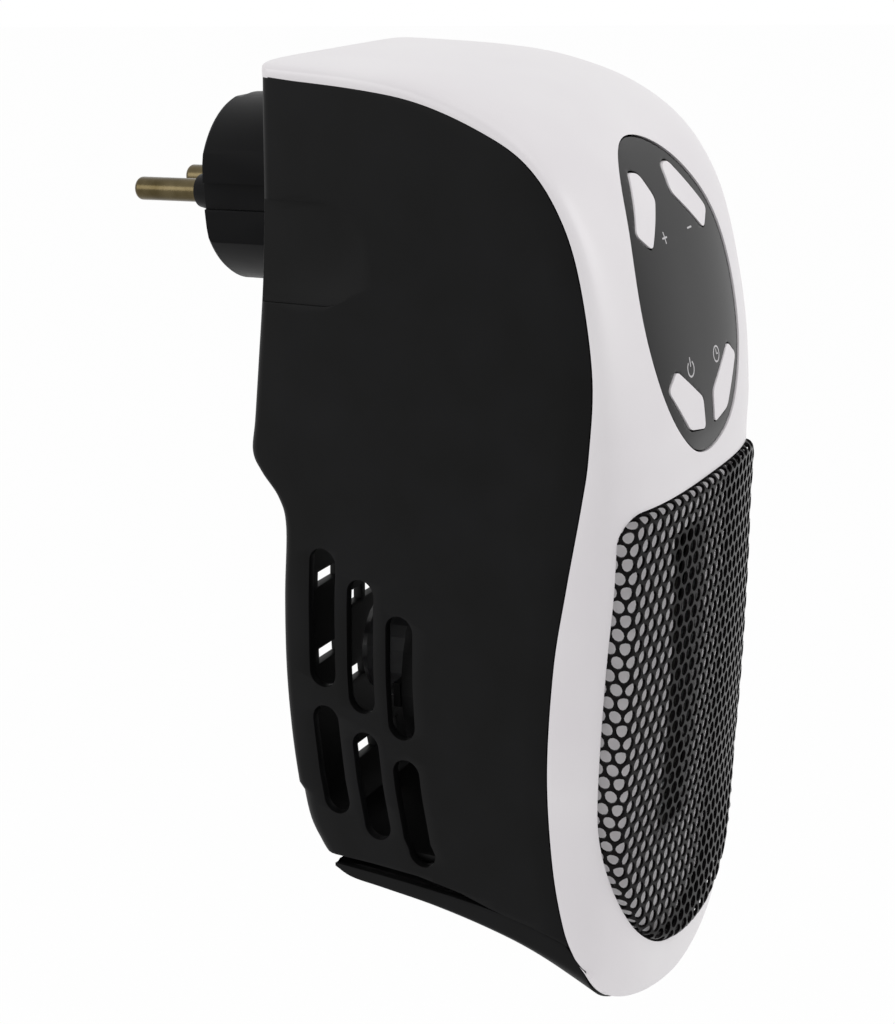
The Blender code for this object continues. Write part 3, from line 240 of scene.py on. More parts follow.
def tool(name, outline, start, length, axis):
    """A straight-sided tool: an outline of (across, up) pulled out along X or Y."""
    bpy.ops.object.select_all(action="DESELECT")
    bpy.ops.mesh.primitive_circle_add(vertices=len(outline), fill_type="NGON")
    made = bpy.context.object
    made.name = name
    for vert, (across, height) in zip(made.data.vertices, outline):
        vert.co = (start, across, height) if axis == "X" else (across, start, height)
    bpy.ops.object.mode_set(mode="EDIT")
    bpy.ops.mesh.select_all(action="SELECT")
    pull = (length, 0, 0) if axis == "X" else (0, length, 0)
    bpy.ops.mesh.extrude_region_move(TRANSFORM_OT_translate={"value": pull})
    bpy.ops.mesh.select_all(action="SELECT")
    bpy.ops.mesh.normals_make_consistent(inside=False)
    bpy.ops.object.mode_set(mode="OBJECT")
    return made


def shape_with(piece, other, operation="DIFFERENCE"):
    """Cuts, joins or keeps with another mesh, which is then gone."""
    use(piece, "BOOLEAN", object=other, operation=operation, solver="EXACT")
    bpy.data.objects.remove(other, do_unlink=True)
    return piece


def cylinder(name, radius, length, middle, axis="Y", sides=32, tip=None):
    """A round tool or blank along an axis. tip is the radius at its far end."""
    turned = {"X": (0, pi / 2, 0), "Y": (-pi / 2, 0, 0), "Z": (0, 0, 0)}[axis]
    bpy.ops.object.select_all(action="DESELECT")
    bpy.ops.mesh.primitive_cone_add(vertices=sides, radius1=radius, radius2=radius if tip is None else tip,
                                    depth=length, location=middle, rotation=turned)
    made = bpy.context.object
    made.name = made.data.name = name
    bpy.ops.object.transform_apply(location=True, rotation=True, scale=True)
    return made


def brick(name, size, middle, turned=0.0):
    """A box of a size at a place, tilted about X."""
    bpy.ops.object.select_all(action="DESELECT")
    bpy.ops.mesh.primitive_cube_add(size=1, location=middle, rotation=(turned, 0, 0), scale=size)
    made = bpy.context.object
    made.name = made.data.name = name
    bpy.ops.object.transform_apply(location=True, rotation=True, scale=True)
    return made


def soften(piece, width, segments=2, angle=radians(38), spared=None):
    """Rounds the moulded edges, apart from those whose middle is spared, and shades the rest smooth."""
    bpy.ops.object.select_all(action="DESELECT")
    bpy.context.view_layer.objects.active = piece
    bpy.ops.object.mode_set(mode="EDIT")
    bpy.ops.mesh.select_mode(type="EDGE")
    bpy.ops.mesh.select_all(action="DESELECT")
    bpy.ops.mesh.edges_select_sharp(sharpness=angle)
    bpy.ops.object.mode_set(mode="OBJECT")
    points = piece.data.vertices
    for edge in piece.data.edges:
        if edge.select and spared and spared((points[edge.vertices[0]].co + points[edge.vertices[1]].co) / 2):
            edge.select = False
    bpy.ops.object.mode_set(mode="EDIT")
    bpy.ops.transform.edge_bevelweight(value=1)
    bpy.ops.object.mode_set(mode="OBJECT")
    use(piece, "BEVEL", width=width, segments=segments, limit_method="WEIGHT", use_clamp_overlap=True,
        harden_normals=False)
    bpy.ops.object.select_all(action="DESELECT")
    piece.select_set(True)
    bpy.context.view_layer.objects.active = piece
    bpy.ops.object.shade_smooth_by_angle(angle=radians(32))
    return piece


def install(piece, look, body, slot, *nodes):
    """Gives a finished piece its material and its body, and hides the CAD nodes it stands for. Its slot is
    not used.
    """
    piece.data.materials.clear()
    piece.data.materials.append(look)
    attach(piece, body)
    if nodes:
        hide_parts(*nodes)


# Black ABS, spark-eroded: a dull satin skin whose fine grain of about 0.3 mm breaks up the highlights,
# with faint clouding from the mould.
black_abs, tree, shader = new_material("black_abs_eroded")
place = add(tree, "ShaderNodeTexCoord")
grain = add(tree, "ShaderNodeTexNoise", {"Scale": 3300.0, "Detail": 2.0}, {"Vector": place.outputs["Object"]})
cloud = add(tree, "ShaderNodeTexNoise", {"Scale": 60.0, "Detail": 3.0}, {"Vector": place.outputs["Object"]})
tint = add(tree, "ShaderNodeValToRGB", {}, {"Fac": cloud.outputs["Fac"]})
tint.color_ramp.elements[0].position, tint.color_ramp.elements[1].position = 0.35, 0.7
tint.color_ramp.elements[0].color = linear("0B0B0B")
tint.color_ramp.elements[1].color = linear("101011")
dull = add(tree, "ShaderNodeMapRange", {"To Min": 0.42, "To Max": 0.52}, {"Value": cloud.outputs["Fac"]})
bump = add(tree, "ShaderNodeBump", {"Strength": 0.10, "Distance": 0.00004}, {"Height": grain.outputs["Fac"]})
tree.links.new(tint.outputs["Color"], shader.inputs["Base Color"])
tree.links.new(dull.outputs["Result"], shader.inputs["Roughness"])
tree.links.new(bump.outputs["Normal"], shader.inputs["Normal"])
shader.inputs["Specular IOR Level"].default_value = 0.09

corner_radius, low_corner_radius, low_corner_z = 0.0024, 0.0044, -0.1200
ats = [row[0] for row in housing_shares]
backs = np.array([along(row[1]) for row in housing_shares])
housing_last = len(housing_shares) - 1
side_share, corner_share = 0.22, 0.34


def housing_place(u, v):
    """A point of the tub's skin: across from the left seam round the back to the right seam."""
    at = v * housing_last
    seam = through_rows(seam_rows, float(through_rows(ats, at)))
    rear = through_rows(backs, at)
    reach = rear - seam
    length = float(np.hypot(*reach))
    reach = reach / length
    start = seam + reach * seam_gap
    length -= seam_gap
    radius = corner_radius if rear[1] > low_corner_z else low_corner_radius
    radius = min(radius, length * 0.6)
    side = min(u, 1 - u)
    sign = -1 if u < 0.5 else 1
    if side < side_share:
        yz = start + reach * (length - radius) * side / side_share
        x = half_width(yz[0])
    elif side < corner_share:
        angle = pi / 2 * (side - side_share) / (corner_share - side_share)
        yz = start + reach * (length - radius + radius * sin(angle))
        x = half_width(yz[0]) - radius * (1 - cos(angle))
    else:
        yz = start + reach * length
        x = (half_width(yz[0]) - radius) * (0.5 - side) / (0.5 - corner_share)
    return sign * x, yz[0], yz[1]


def back_at(z):
    """y of the back wall at a height."""
    return float(np.interp(-z, -backs[:, 1], backs[:, 0]))


housing = face_outward(drape("rear_housing_moulding", 50, 120, housing_place))
use(housing, "SOLIDIFY", thickness=wall, offset=-1, use_even_offset=False)

plug_radius, plug_flat, plug_clearance = 0.0192, 0.0168, 0.0004
collar_radius = 0.0245
collar_front, collar_back = -0.0222, -0.0322
collar_middle = (0, (collar_front + collar_back) / 2, 0)
collar = cylinder("collar", collar_radius, collar_front - collar_back, collar_middle, sides=96)
shape_with(housing, collar, "UNION")
screw_heights = (0.0155, -0.0465)
boss_x, boss_radius, boss_length = 0.0245, 0.0042, 0.0172
for z in screw_heights:
    for side in (-1, 1):
        start, end = back_at(z) - wall / 2, back_at(z) - boss_length
        boss = cylinder("boss", boss_radius, start - end, (side * boss_x, (start + end) / 2, z))
        shape_with(housing, boss, "UNION")
shape_with(housing, cylinder("plug_hole", plug_radius + plug_clearance, 0.03, (0, -0.03, 0), sides=96))
head_sunk, head_radius, head_height, shank_radius = 0.0094, 0.0031, 0.0018, 0.0017
for z in screw_heights:
    for side in (-1, 1):
        y = back_at(z) - head_sunk - head_height
        shape_with(housing, cylinder("head_hole", head_radius, 0.024, (side * boss_x, y + 0.012, z)))
        shape_with(housing, cylinder("shank_hole", shank_radius, 0.03, (side * boss_x, y, z), sides=16))

vent_width, vent_pitch, vent_start = 0.0063, 0.0092, 1.09
vent_shares = (
    ((0.499, 0.655), (0.527, 0.677), (0.560, 0.698)),
    ((0.676, 0.800), (0.698, 0.820), (0.720, 0.840)),
)
across = 2 * half_front + 0.008


def vent_outline(column, top_share, bottom_share):
    """A side slot as (y, z): round ends, and sides that run parallel to the housing's back."""
    radius = vent_width / 2
    high = top_z - top_share * body_height - radius
    low = top_z - bottom_share * body_height + radius
    heights = [high + (low - high) * i / 7 for i in range(8)]
    middles = [(back_at(z) - (column + vent_start) * vent_pitch, z) for z in heights]
    angles = [pi * i / 12 for i in range(13)]
    points = [(middles[0][0] + radius * cos(angle), high + radius * sin(angle)) for angle in angles]
    points += [(y - radius, z) for y, z in middles[1:-1]]
    points += [(middles[-1][0] - radius * cos(angle), low - radius * sin(angle)) for angle in angles]
    points += [(y + radius, z) for y, z in reversed(middles[1:-1])]
    return points


for row in vent_shares:
    for column in range(3):
        shape_with(housing, tool("vent", vent_outline(column, *row[column]), -across / 2, across, "X"))

# The two outer columns of the intake have a slot less than the inner ones, because the photograph shows
# no light there.
intake_size = (0.0085, 0.012, 0.0032)
intake_top_z, intake_pitch_x, intake_pitch_z = -0.0780, 0.010, 0.0170
for column in range(4):
    for row in range(3 if column in (1, 2) else 2):
        x = (column - 1.5) * intake_pitch_x
        z = intake_top_z - intake_pitch_z * (row + (0.5 if column in (1, 2) else 0))
        shape_with(housing, brick("intake", intake_size, (x, back_at(z), z)))

grip_radius = 0.0100
grip_middle = (back_y - 0.0215 + grip_radius + wall, 0.0023 - grip_radius)
grip = [(back_y + 0.012, grip_middle[1] - grip_radius), (back_y + 0.012, grip_middle[1] + grip_radius)]
grip += [(grip_middle[0] + grip_radius * cos(pi / 2 + pi * i / 32),
          grip_middle[1] + grip_radius * sin(pi / 2 + pi * i / 32)) for i in range(33)]
grip_depth = 0.0008
slope = (half_front - half_back) / body_depth
for side in (-1, 1):
    inner = half_width(grip_middle[0]) - grip_depth
    press = tool("grip", grip, side * inner, side * 0.005, "X")
    for vert in press.data.vertices:
        vert.co.x -= side * slope * (vert.co.y - grip_middle[0])
    shape_with(housing, press)
groove_shares = (
    (-0.040, 0.8500), (0.190, 0.8500), (0.330, 0.8520), (0.460, 0.8595), (0.545, 0.8692), (0.600, 0.8742),
    (0.660, 0.8790), (0.720, 0.8852), (0.820, 0.8960), (0.820, 0.9300), (-0.040, 0.9300),
)
shape_with(housing, tool("groove", [tuple(along(s)) for s in groove_shares], -across / 2, across, "X"))
soften(housing, 0.0004)
install(housing, black_abs, "case", "black", "rear_housing")


# Bottom cover. A black ABS moulding that closes the tub below a tapered shadow groove and runs forward
# under the chin; it clips between the tub and the white shell.
cover_shares = (
    ((0.070, 0.8605), (0.070, 0.8640), (0.070, 0.868)), ((0.122, 0.8610), (0.122, 0.8725), (0.122, 0.882)),
    ((0.224, 0.8620), (0.224, 0.8755), (0.224, 0.893)), ((0.378, 0.8650), (0.378, 0.8800), (0.378, 0.907)),
    ((0.532, 0.8700), (0.532, 0.8890), (0.532, 0.923)), ((0.660, 0.8785), (0.668, 0.9010), (0.660, 0.944)),
    ((0.762, 0.8890), (0.826, 0.9195), (0.8365, 0.9955)),
)
cover_tables = [np.array([along(row[k]) for row in cover_shares]) for k in (0, 1, 2)]
cover_last = len(cover_shares) - 1


def oval(seam, crest, roundness, turned):
    """A point of a section from the left seam (0) over the crest to the right seam (1)."""
    side = -cos(pi * turned)
    rise = max(sin(pi * turned), 0.0) ** (2 / roundness)
    yz = seam + (crest - seam) * rise
    return (1 if side > 0 else -1) * abs(side) ** (2 / roundness) * half_width(seam[0]), yz[0], yz[1]


lip_share = 0.08


def cover_place(u, v):
    """A point of the cover's skin: up both side lips (lip_share each) and over the belly between."""
    top, edge, middle = (through_rows(table, v * cover_last) for table in cover_tables)
    side = min(u, 1 - u)
    if side < lip_share:
        yz = top + (edge - top) * side / lip_share
        x = half_width(top[0] + (edge[0] - top[0]) * side / lip_share)
        return (-1 if u < 0.5 else 1) * x, yz[0], yz[1]
    return oval(edge, middle, round_rows[-1], (u - lip_share) / (1 - 2 * lip_share))


cover = face_outward(drape("bottom_cover_moulding", 60, 48, cover_place))
use(cover, "SOLIDIFY", thickness=wall, offset=-1, use_even_offset=False)


def chin_line(side, gap):
    """A tool for all that lies behind (1) or in front (-1) of the line where chin and cover meet."""
    seam, crest = seam_rows[-1], crest_rows[-1]
    down = (crest - seam) / np.hypot(*(crest - seam))
    shift, deep = np.array((side * gap, 0)), np.array((side * 0.008, 0))
    high, low = seam - down * wall + shift, crest + down * 0.004 + shift
    corners = [tuple(point) for point in (high, low, low + deep, high + deep)]
    return tool("chin_line", corners, -across / 2, across, "X")


chin_clearance = 0.0009    # keeps the cover's front corners behind the shell's thin rim
shape_with(cover, chin_line(-1, -(seam_gap + chin_clearance)))
soften(cover, 0.0002)

# The cover's inner floor closes the groove off from the room of the fan: a plate that follows the tub's
# inner wall, cut from a slab by the tub's own section.
floor_high, floor_low = -0.1296, -0.1310
floor_inset, inset_front_y = 0.0026, -0.045
section = []
for u in np.linspace(0, 1, 60):
    ring = [housing_place(u, v) for v in np.linspace(0.86, 0.99, 40)]
    x, y, z = min(ring, key=lambda point: abs(point[2] - floor_high))
    section.append((x * (1 - floor_inset / half_front), y - (floor_inset if y > inset_front_y else 0.0)))
bpy.ops.object.select_all(action="DESELECT")
bpy.ops.mesh.primitive_circle_add(vertices=len(section), fill_type="NGON")
cover_floor = bpy.context.object
cover_floor.name = cover_floor.data.name = "bottom_cover_floor"
for vert, (x, y) in zip(cover_floor.data.vertices, section):
    vert.co = (x, y, floor_low)
bpy.ops.object.mode_set(mode="EDIT")
bpy.ops.mesh.select_all(action="SELECT")
bpy.ops.mesh.extrude_region_move(TRANSFORM_OT_translate={"value": (0, 0, floor_high - floor_low)})
bpy.ops.mesh.select_all(action="SELECT")
bpy.ops.mesh.normals_make_consistent(inside=False)
bpy.ops.object.mode_set(mode="OBJECT")
soften(cover_floor, 0.0002)
install(cover_floor, black_abs, "case", "black", "bottom_cover")
install(cover, black_abs, "case", "black", "bottom_cover")


# White front shell. One ABS moulding, polished in the tool: flat top, a dome over the keys, a frame
# round the outlet and a round chin. It meets the black tub on a thin seam and holds panel and grille.
white_abs, tree, shader = new_material("white_abs_polished")
place = add(tree, "ShaderNodeTexCoord")
peel = add(tree, "ShaderNodeTexNoise", {"Scale": 420.0, "Detail": 1.5}, {"Vector": place.outputs["Object"]})
cloud = add(tree, "ShaderNodeTexNoise", {"Scale": 35.0, "Detail": 2.0}, {"Vector": place.outputs["Object"]})
tint = add(tree, "ShaderNodeValToRGB", {}, {"Fac": cloud.outputs["Fac"]})
tint.color_ramp.elements[0].position, tint.color_ramp.elements[1].position = 0.3, 0.75
tint.color_ramp.elements[0].color = linear("D9D5D8")
tint.color_ramp.elements[1].color = linear("DFDCDE")
sheen = add(tree, "ShaderNodeMapRange", {"To Min": 0.26, "To Max": 0.34}, {"Value": cloud.outputs["Fac"]})
bump = add(tree, "ShaderNodeBump", {"Strength": 0.05, "Distance": 0.00005}, {"Height": peel.outputs["Fac"]})
tree.links.new(tint.outputs["Color"], shader.inputs["Base Color"])
tree.links.new(sheen.outputs["Result"], shader.inputs["Roughness"])
tree.links.new(bump.outputs["Normal"], shader.inputs["Normal"])

first_row_depth = 0.0217
back_rows = corner_radius / first_row_depth
rounding_share = 0.06
inside_share = 0.9994    # keeps the skin's lowest and widest points within the solid's reach


def shell_place(u, v):
    """A point of the shell's skin. Its first rows lie close together and draw in round the back corners."""
    if v < rounding_share:
        at = back_rows * (1 - cos(pi / 2 * v / rounding_share))
    else:
        at = back_rows + (v - rounding_share) / (1 - rounding_share) * (last_row - back_rows)
    seam = through_rows(seam_rows, at)
    x, y, z = oval(seam, through_rows(crest_rows, at), float(through_rows(round_rows, at)), u)
    near = max(corner_radius - (seam_rows[0][0] - seam[0]), 0.0)
    drawn_in = corner_radius - sqrt(max(corner_radius**2 - near**2, 0.0))
    return x * (1 - drawn_in / half_back) * inside_share, y, z * (inside_share if z < 0 else 1)


panel_half_width, panel_half_height, panel_middle = 0.0235, 0.030, -0.018
grille_half, grille_top, grille_bottom, grille_corner = 0.0335, -0.0530, -0.1505, 0.0054
front_y, cut_to_y = -0.16, -0.0675


def ellipse(half_x, half_z, middle_z, count=128):
    angles = [2 * pi * i / count for i in range(count)]
    return [(half_x * cos(angle), middle_z + half_z * sin(angle)) for angle in angles]


def window(inset=0.0, steps=15):
    """Outline of the outlet: straight top with round corners, straight sides, rounded bottom, as (x, z)."""
    half, top, bottom = grille_half - inset, grille_top - inset, grille_bottom + inset
    corner = grille_corner - inset
    side_end = bottom + half * 1.18
    outline = [(half - corner + corner * cos(pi / 2 * i / (steps - 1)),
                top - corner + corner * sin(pi / 2 * i / (steps - 1))) for i in range(steps)]
    outline += [(-x, z) for x, z in reversed(outline)]
    for i in range(4 * steps + 1):
        angle = pi + pi * i / (4 * steps)
        x = half * (1 if cos(angle) > 0 else -1) * abs(cos(angle)) ** 0.86
        outline.append((x, side_end - (side_end - bottom) * abs(sin(angle)) ** 0.86))
    return outline


# The wall thins out towards the chin's tight curl, where a full wall would cross itself.
shell_wall, thin_z, full_z, thin_share = 0.0012, -0.140, -0.118, 0.08
shell = face_outward(drape("front_shell_moulding", 96, 150, shell_place))
thinning = shell.vertex_groups.new(name="thinning")
for vert in shell.data.vertices:
    thinning.add([vert.index], float(np.interp(vert.co.z, (thin_z, full_z), (thin_share, 1.0))), "REPLACE")
use(shell, "SOLIDIFY", thickness=shell_wall, offset=-1, use_even_offset=False, vertex_group="thinning")
shape_with(shell, tool("panel_opening", ellipse(panel_half_width, panel_half_height, panel_middle),
                       front_y, cut_to_y - front_y, "Y"))
shape_with(shell, tool("outlet_opening", window(), front_y, cut_to_y - front_y, "Y"))

soften(shell, 0.0003, spared=lambda middle: middle.z < -0.135 and abs(middle.x) > 0.02 or middle.z < -0.1515)
install(shell, white_abs, "case", "white", "front_shell")


# Inner bezel. A white plate clipped behind the outlet opening, set back from the grille, with the tall
# slot in its middle that the warm air leaves by.
fine = np.linspace(0, last_row, 1400)
fine_seam, fine_crest = through_rows(seam_rows, fine), through_rows(crest_rows, fine)
fine_round = through_rows(round_rows, fine)


def dome_y(x, z):
    """y of the shell's outer face at a place, found on finely spaced sections."""
    side = np.minimum(abs(x) / half_width(fine_seam[:, 0]), 0.9999)
    rise = (1 - side**fine_round) ** (1 / fine_round)
    yz = fine_seam + (fine_crest - fine_seam) * rise[:, None]
    return float(np.interp(-z, -yz[:, 1], yz[:, 0]))


def on_dome(x, z, lift=0.0):
    """A point over the dome, lifted along its normal, which is level with the face for small steps."""
    y = dome_y(x, z)
    if not lift:
        return Vector((x, y, z))
    step = 0.0004
    slope_x = (dome_y(x + step, z) - dome_y(x - step, z)) / (2 * step)
    slope_z = (dome_y(x, z + step) - dome_y(x, z - step)) / (2 * step)
    return Vector((x, y, z)) + Vector((slope_x, -1, slope_z)).normalized() * lift


bezel_recess, bezel_margin, bezel_cut_y = 0.0021, 0.004, -0.0900
bezel_lift = -(wall + seam_gap + bezel_recess)


def bezel_place(u, v):
    x = (2 * u - 1) * (grille_half + bezel_margin)
    z = grille_top + bezel_margin - v * (grille_top - grille_bottom + 2 * bezel_margin)
    return Vector((x, dome_y(max(min(x, 0.0345), -0.0345), z) - bezel_lift, z))


bezel = face_outward(drape("inner_bezel_plate", 60, 80, bezel_place))
use(bezel, "SOLIDIFY", thickness=0.0016, offset=-1, use_even_offset=False)
shape_with(bezel, tool("bezel_outline", window(0.0001), front_y, bezel_cut_y - front_y, "Y"), "INTERSECT")
outlet_half, outlet_top, outlet_bottom = 0.0085, -0.0635, -0.1290
slot_corner = 0.0015
slot = []
for sx, sz, first in ((1, 1, 0), (-1, 1, 1), (-1, -1, 2), (1, -1, 3)):
    for i in range(6):
        angle = pi / 2 * (first + i / 5)
        x = sx * (outlet_half - slot_corner)
        z = (outlet_top if sz > 0 else outlet_bottom) - sz * slot_corner
        slot.append((x + slot_corner * cos(angle), z + slot_corner * sin(angle)))
shape_with(bezel, tool("slot", slot, front_y, cut_to_y - front_y, "Y"))
soften(bezel, 0.0003)
install(bezel, white_abs, "case", "white", "inner_bezel")


# Outlet grille. Sheet steel, punched with staggered round holes, its edge formed over and tucked into
# the white shell, then enamelled black. Its gloss is kept low, so that the webs stay dark to the eye.
hole_radius, hole_pitch, sheet = 0.00135, 0.00318, 0.0006
form_radius, flank, grille_crown = 0.0018, 0.0036, 0.0041
row_pitch = hole_pitch * sqrt(3) / 2

enamel, tree, shader = new_material("black_enamel_on_steel")
place = add(tree, "ShaderNodeTexCoord")
peel = add(tree, "ShaderNodeTexNoise", {"Scale": 900.0, "Detail": 2.0}, {"Vector": place.outputs["Object"]})
film = add(tree, "ShaderNodeTexNoise", {"Scale": 140.0, "Detail": 2.0}, {"Vector": place.outputs["Object"]})
tint = add(tree, "ShaderNodeValToRGB", {}, {"Fac": film.outputs["Fac"]})
tint.color_ramp.elements[0].color = linear("0B090A")
tint.color_ramp.elements[1].color = linear("131112")
gloss = add(tree, "ShaderNodeMapRange", {"To Min": 0.14, "To Max": 0.26}, {"Value": film.outputs["Fac"]})
bump = add(tree, "ShaderNodeBump", {"Strength": 0.15, "Distance": 0.00005}, {"Height": peel.outputs["Fac"]})
tree.links.new(tint.outputs["Color"], shader.inputs["Base Color"])
tree.links.new(gloss.outputs["Result"], shader.inputs["Roughness"])
tree.links.new(bump.outputs["Normal"], shader.inputs["Normal"])
shader.inputs["Specular IOR Level"].default_value = 0.05

bpy.ops.object.select_all(action="DESELECT")
bpy.ops.mesh.primitive_circle_add(vertices=12, radius=hole_radius, fill_type="NOTHING")
grille = bpy.context.object
grille.name = grille.data.name = "outlet_grille_sheet"
bpy.ops.object.mode_set(mode="EDIT")
bpy.ops.mesh.select_all(action="SELECT")
bpy.ops.mesh.extrude_edges_move()
bpy.ops.transform.resize(value=(1.3, 1.3, 1.3))
bpy.ops.object.mode_set(mode="OBJECT")
for vert in grille.data.vertices:
    if vert.co.length > hole_radius * 1.1:
        sixth = round(atan2(vert.co.y, vert.co.x) / (pi / 6))
        reach = hole_pitch / 2 if sixth % 2 == 0 else hole_pitch / sqrt(3)
        vert.co = (reach * cos(sixth * pi / 6), reach * sin(sixth * pi / 6), 0)
columns = int(2 * (grille_half + 0.005) / hole_pitch) + 3
rows = int((grille_top - grille_bottom + 0.012) / (2 * row_pitch)) + 2
for count, offset in (
    (2, (hole_pitch / 2, row_pitch, 0)), (columns, (hole_pitch, 0, 0)), (rows, (0, 2 * row_pitch, 0)),
):
    use(grille, "ARRAY", count=count, use_relative_offset=False, use_constant_offset=True,
        constant_offset_displace=offset, use_merge_vertices=True, merge_threshold=0.00002)

grille_shares = (
    (0.999, 0.385), (0.994, 0.427), (0.982, 0.501), (0.976, 0.569), (0.9615, 0.675), (0.950, 0.738),
    (0.938, 0.806), (0.938, 0.880), (0.935, 0.940), (0.930, 1.000),
)
grille_rows = [along(share) for share in grille_shares]
grille_line = through_rows(grille_rows, np.linspace(0, len(grille_rows) - 1, 200))
border = np.array(window(0.0003, 24))
ahead = np.roll(border, -1, axis=0) - border
length2 = np.maximum((ahead**2).sum(1), 1e-12)
bend = form_radius * pi / 2
tucked = flank + bend - form_radius
sheet_x = -(columns // 2) * hole_pitch
sheet_z = grille_bottom - tucked - 1.2 * row_pitch


def sheet_y(x, z):
    """y of the grille's crowned face."""
    return float(np.interp(-z, -grille_line[:, 1], grille_line[:, 0])) + grille_crown * (x / half_front) ** 2


def formed(x, z):
    """Lays a point of the flat sheet on the crowned face, with the edge turned down round the forming
    radius and on along the flank. It also tells whether the point lies past the flank's hidden end."""
    point = np.array((x, z))
    t = np.clip(((point - border) * ahead).sum(1) / length2, 0, 1)
    near = border + ahead * t[:, None]
    gaps = np.hypot(*(point - near).T)
    k = int(gaps.argmin())
    inner = np.array((-ahead[k][1], ahead[k][0]))
    depth = gaps[k] if float((point - near[k]) @ inner) >= 0 else -gaps[k]
    if depth >= form_radius:
        return Vector((x, sheet_y(x, z), z)), False
    run = depth + tucked
    angle = max(run - flank, 0.0) / form_radius
    inward = form_radius * (1 - cos(angle))
    drop = form_radius * (1 - sin(angle)) + max(flank - run, 0.0)
    inner = (point - near[k]) / (depth if abs(depth) > 1e-9 else 1e-9)
    moved = near[k] + inner * inward
    y = sheet_y(*moved) + drop
    return Vector((moved[0], y, moved[1])), y > dome_y(*near[k]) + 0.0026 or run < 0


far = []
for vert in grille.data.vertices:
    vert.co, beyond = formed(vert.co.x + sheet_x, vert.co.y + sheet_z)
    far.append(bool(beyond))
bpy.ops.object.select_all(action="DESELECT")
bpy.context.view_layer.objects.active = grille
for vert, beyond in zip(grille.data.vertices, far):
    vert.select = beyond
for face in grille.data.polygons:
    face.select = all(far[i] for i in face.vertices)
for edge in grille.data.edges:
    edge.select = False
bpy.ops.object.mode_set(mode="EDIT")
bpy.ops.mesh.select_mode(type="FACE")
bpy.ops.mesh.delete(type="FACE")
bpy.ops.mesh.select_mode(type="VERT")
bpy.ops.mesh.select_all(action="SELECT")
bpy.ops.mesh.remove_doubles(threshold=0.00002)
bpy.ops.mesh.delete_loose()
bpy.ops.object.mode_set(mode="OBJECT")
face_outward(grille)
use(grille, "SOLIDIFY", thickness=sheet, offset=-1, use_even_offset=False)
bpy.ops.object.select_all(action="DESELECT")
grille.select_set(True)
bpy.context.view_layer.objects.active = grille
bpy.ops.object.shade_smooth_by_angle(angle=radians(50))
install(grille, enamel, "case", "grille", "outlet_grille")


# Control panel. An oval lens of smoked acrylic, set just below the white edge, with an opening for each
# key. Its surface is polished; a few fine wipe marks show where fingers go.
smoked, tree, shader = new_material("smoked_acrylic")
place = add(tree, "ShaderNodeTexCoord")
wipe = add(tree, "ShaderNodeMapping", {"Scale": (1.0, 1.0, 6.0)}, {"Vector": place.outputs["Object"]})
marks = add(tree, "ShaderNodeTexNoise", {"Scale": 90.0, "Detail": 3.0}, {"Vector": wipe.outputs["Vector"]})
gloss = add(tree, "ShaderNodeMapRange", {"To Min": 0.10, "To Max": 0.19}, {"Value": marks.outputs["Fac"]})
tint = add(tree, "ShaderNodeValToRGB", {}, {"Fac": marks.outputs["Fac"]})
tint.color_ramp.elements[0].color = linear("0D0C0D")
tint.color_ramp.elements[1].color = linear("131213")
shader.inputs["Specular IOR Level"].default_value = 0.15
tree.links.new(gloss.outputs["Result"], shader.inputs["Roughness"])
tree.links.new(tint.outputs["Color"], shader.inputs["Base Color"])

panel_sink, panel_gap, key_gap, key_growth = 0.0003, 0.0004, 0.0005, 0.0001


def panel_place(u, v):
    x = (2 * u - 1) * (panel_half_width + 0.002)
    z = panel_middle + (1 - 2 * v) * (panel_half_height + 0.002)
    return on_dome(x, z, -panel_sink)


upper_key_shares = ((-0.400, 0.807), (-0.255, 0.787), (-0.183, 0.630), (-0.562, 0.360), (-0.753, 0.473))
lower_key_shares = ((-0.575, -0.393), (-0.749, -0.493), (-0.420, -0.790), (-0.110, -0.837), (-0.123, -0.633))


def key_outline(shares, side, inset, radius=0.0013):
    """A key as (x, z), on the left or mirrored, with its corners rounded and drawn in all round."""
    corners = [np.array((side * x * panel_half_width, panel_middle + z * panel_half_height))
               for x, z in shares]
    middle = sum(corners) / len(corners)
    points = []
    for i, corner in enumerate(corners):
        before, after = corners[i - 1] - corner, corners[(i + 1) % len(corners)] - corner
        a = corner + before / np.hypot(*before) * min(radius, np.hypot(*before) * 0.42)
        b = corner + after / np.hypot(*after) * min(radius, np.hypot(*after) * 0.42)
        for k in range(7):
            t = k / 6
            p = a * (1 - t) ** 2 + corner * 2 * t * (1 - t) + b * t * t
            points.append(tuple(p + (middle - p) / np.hypot(*(middle - p)) * inset))
    return points


panel = face_outward(drape("control_panel_lens", 60, 76, panel_place))
use(panel, "SOLIDIFY", thickness=0.0017, offset=-1, use_even_offset=False)
panel_edge = ellipse(panel_half_width - panel_gap, panel_half_height - panel_gap, panel_middle)
shape_with(panel, tool("panel_outline", panel_edge, front_y, cut_to_y - front_y, "Y"), "INTERSECT")
for shares in (upper_key_shares, lower_key_shares):
    for side in (1, -1):
        hole = key_outline(shares, side, -key_gap)
        shape_with(panel, tool("key_hole", hole, front_y, cut_to_y - front_y, "Y"))
soften(panel, 0.0002)
install(panel, smoked, "case", "panel", "control_panel")


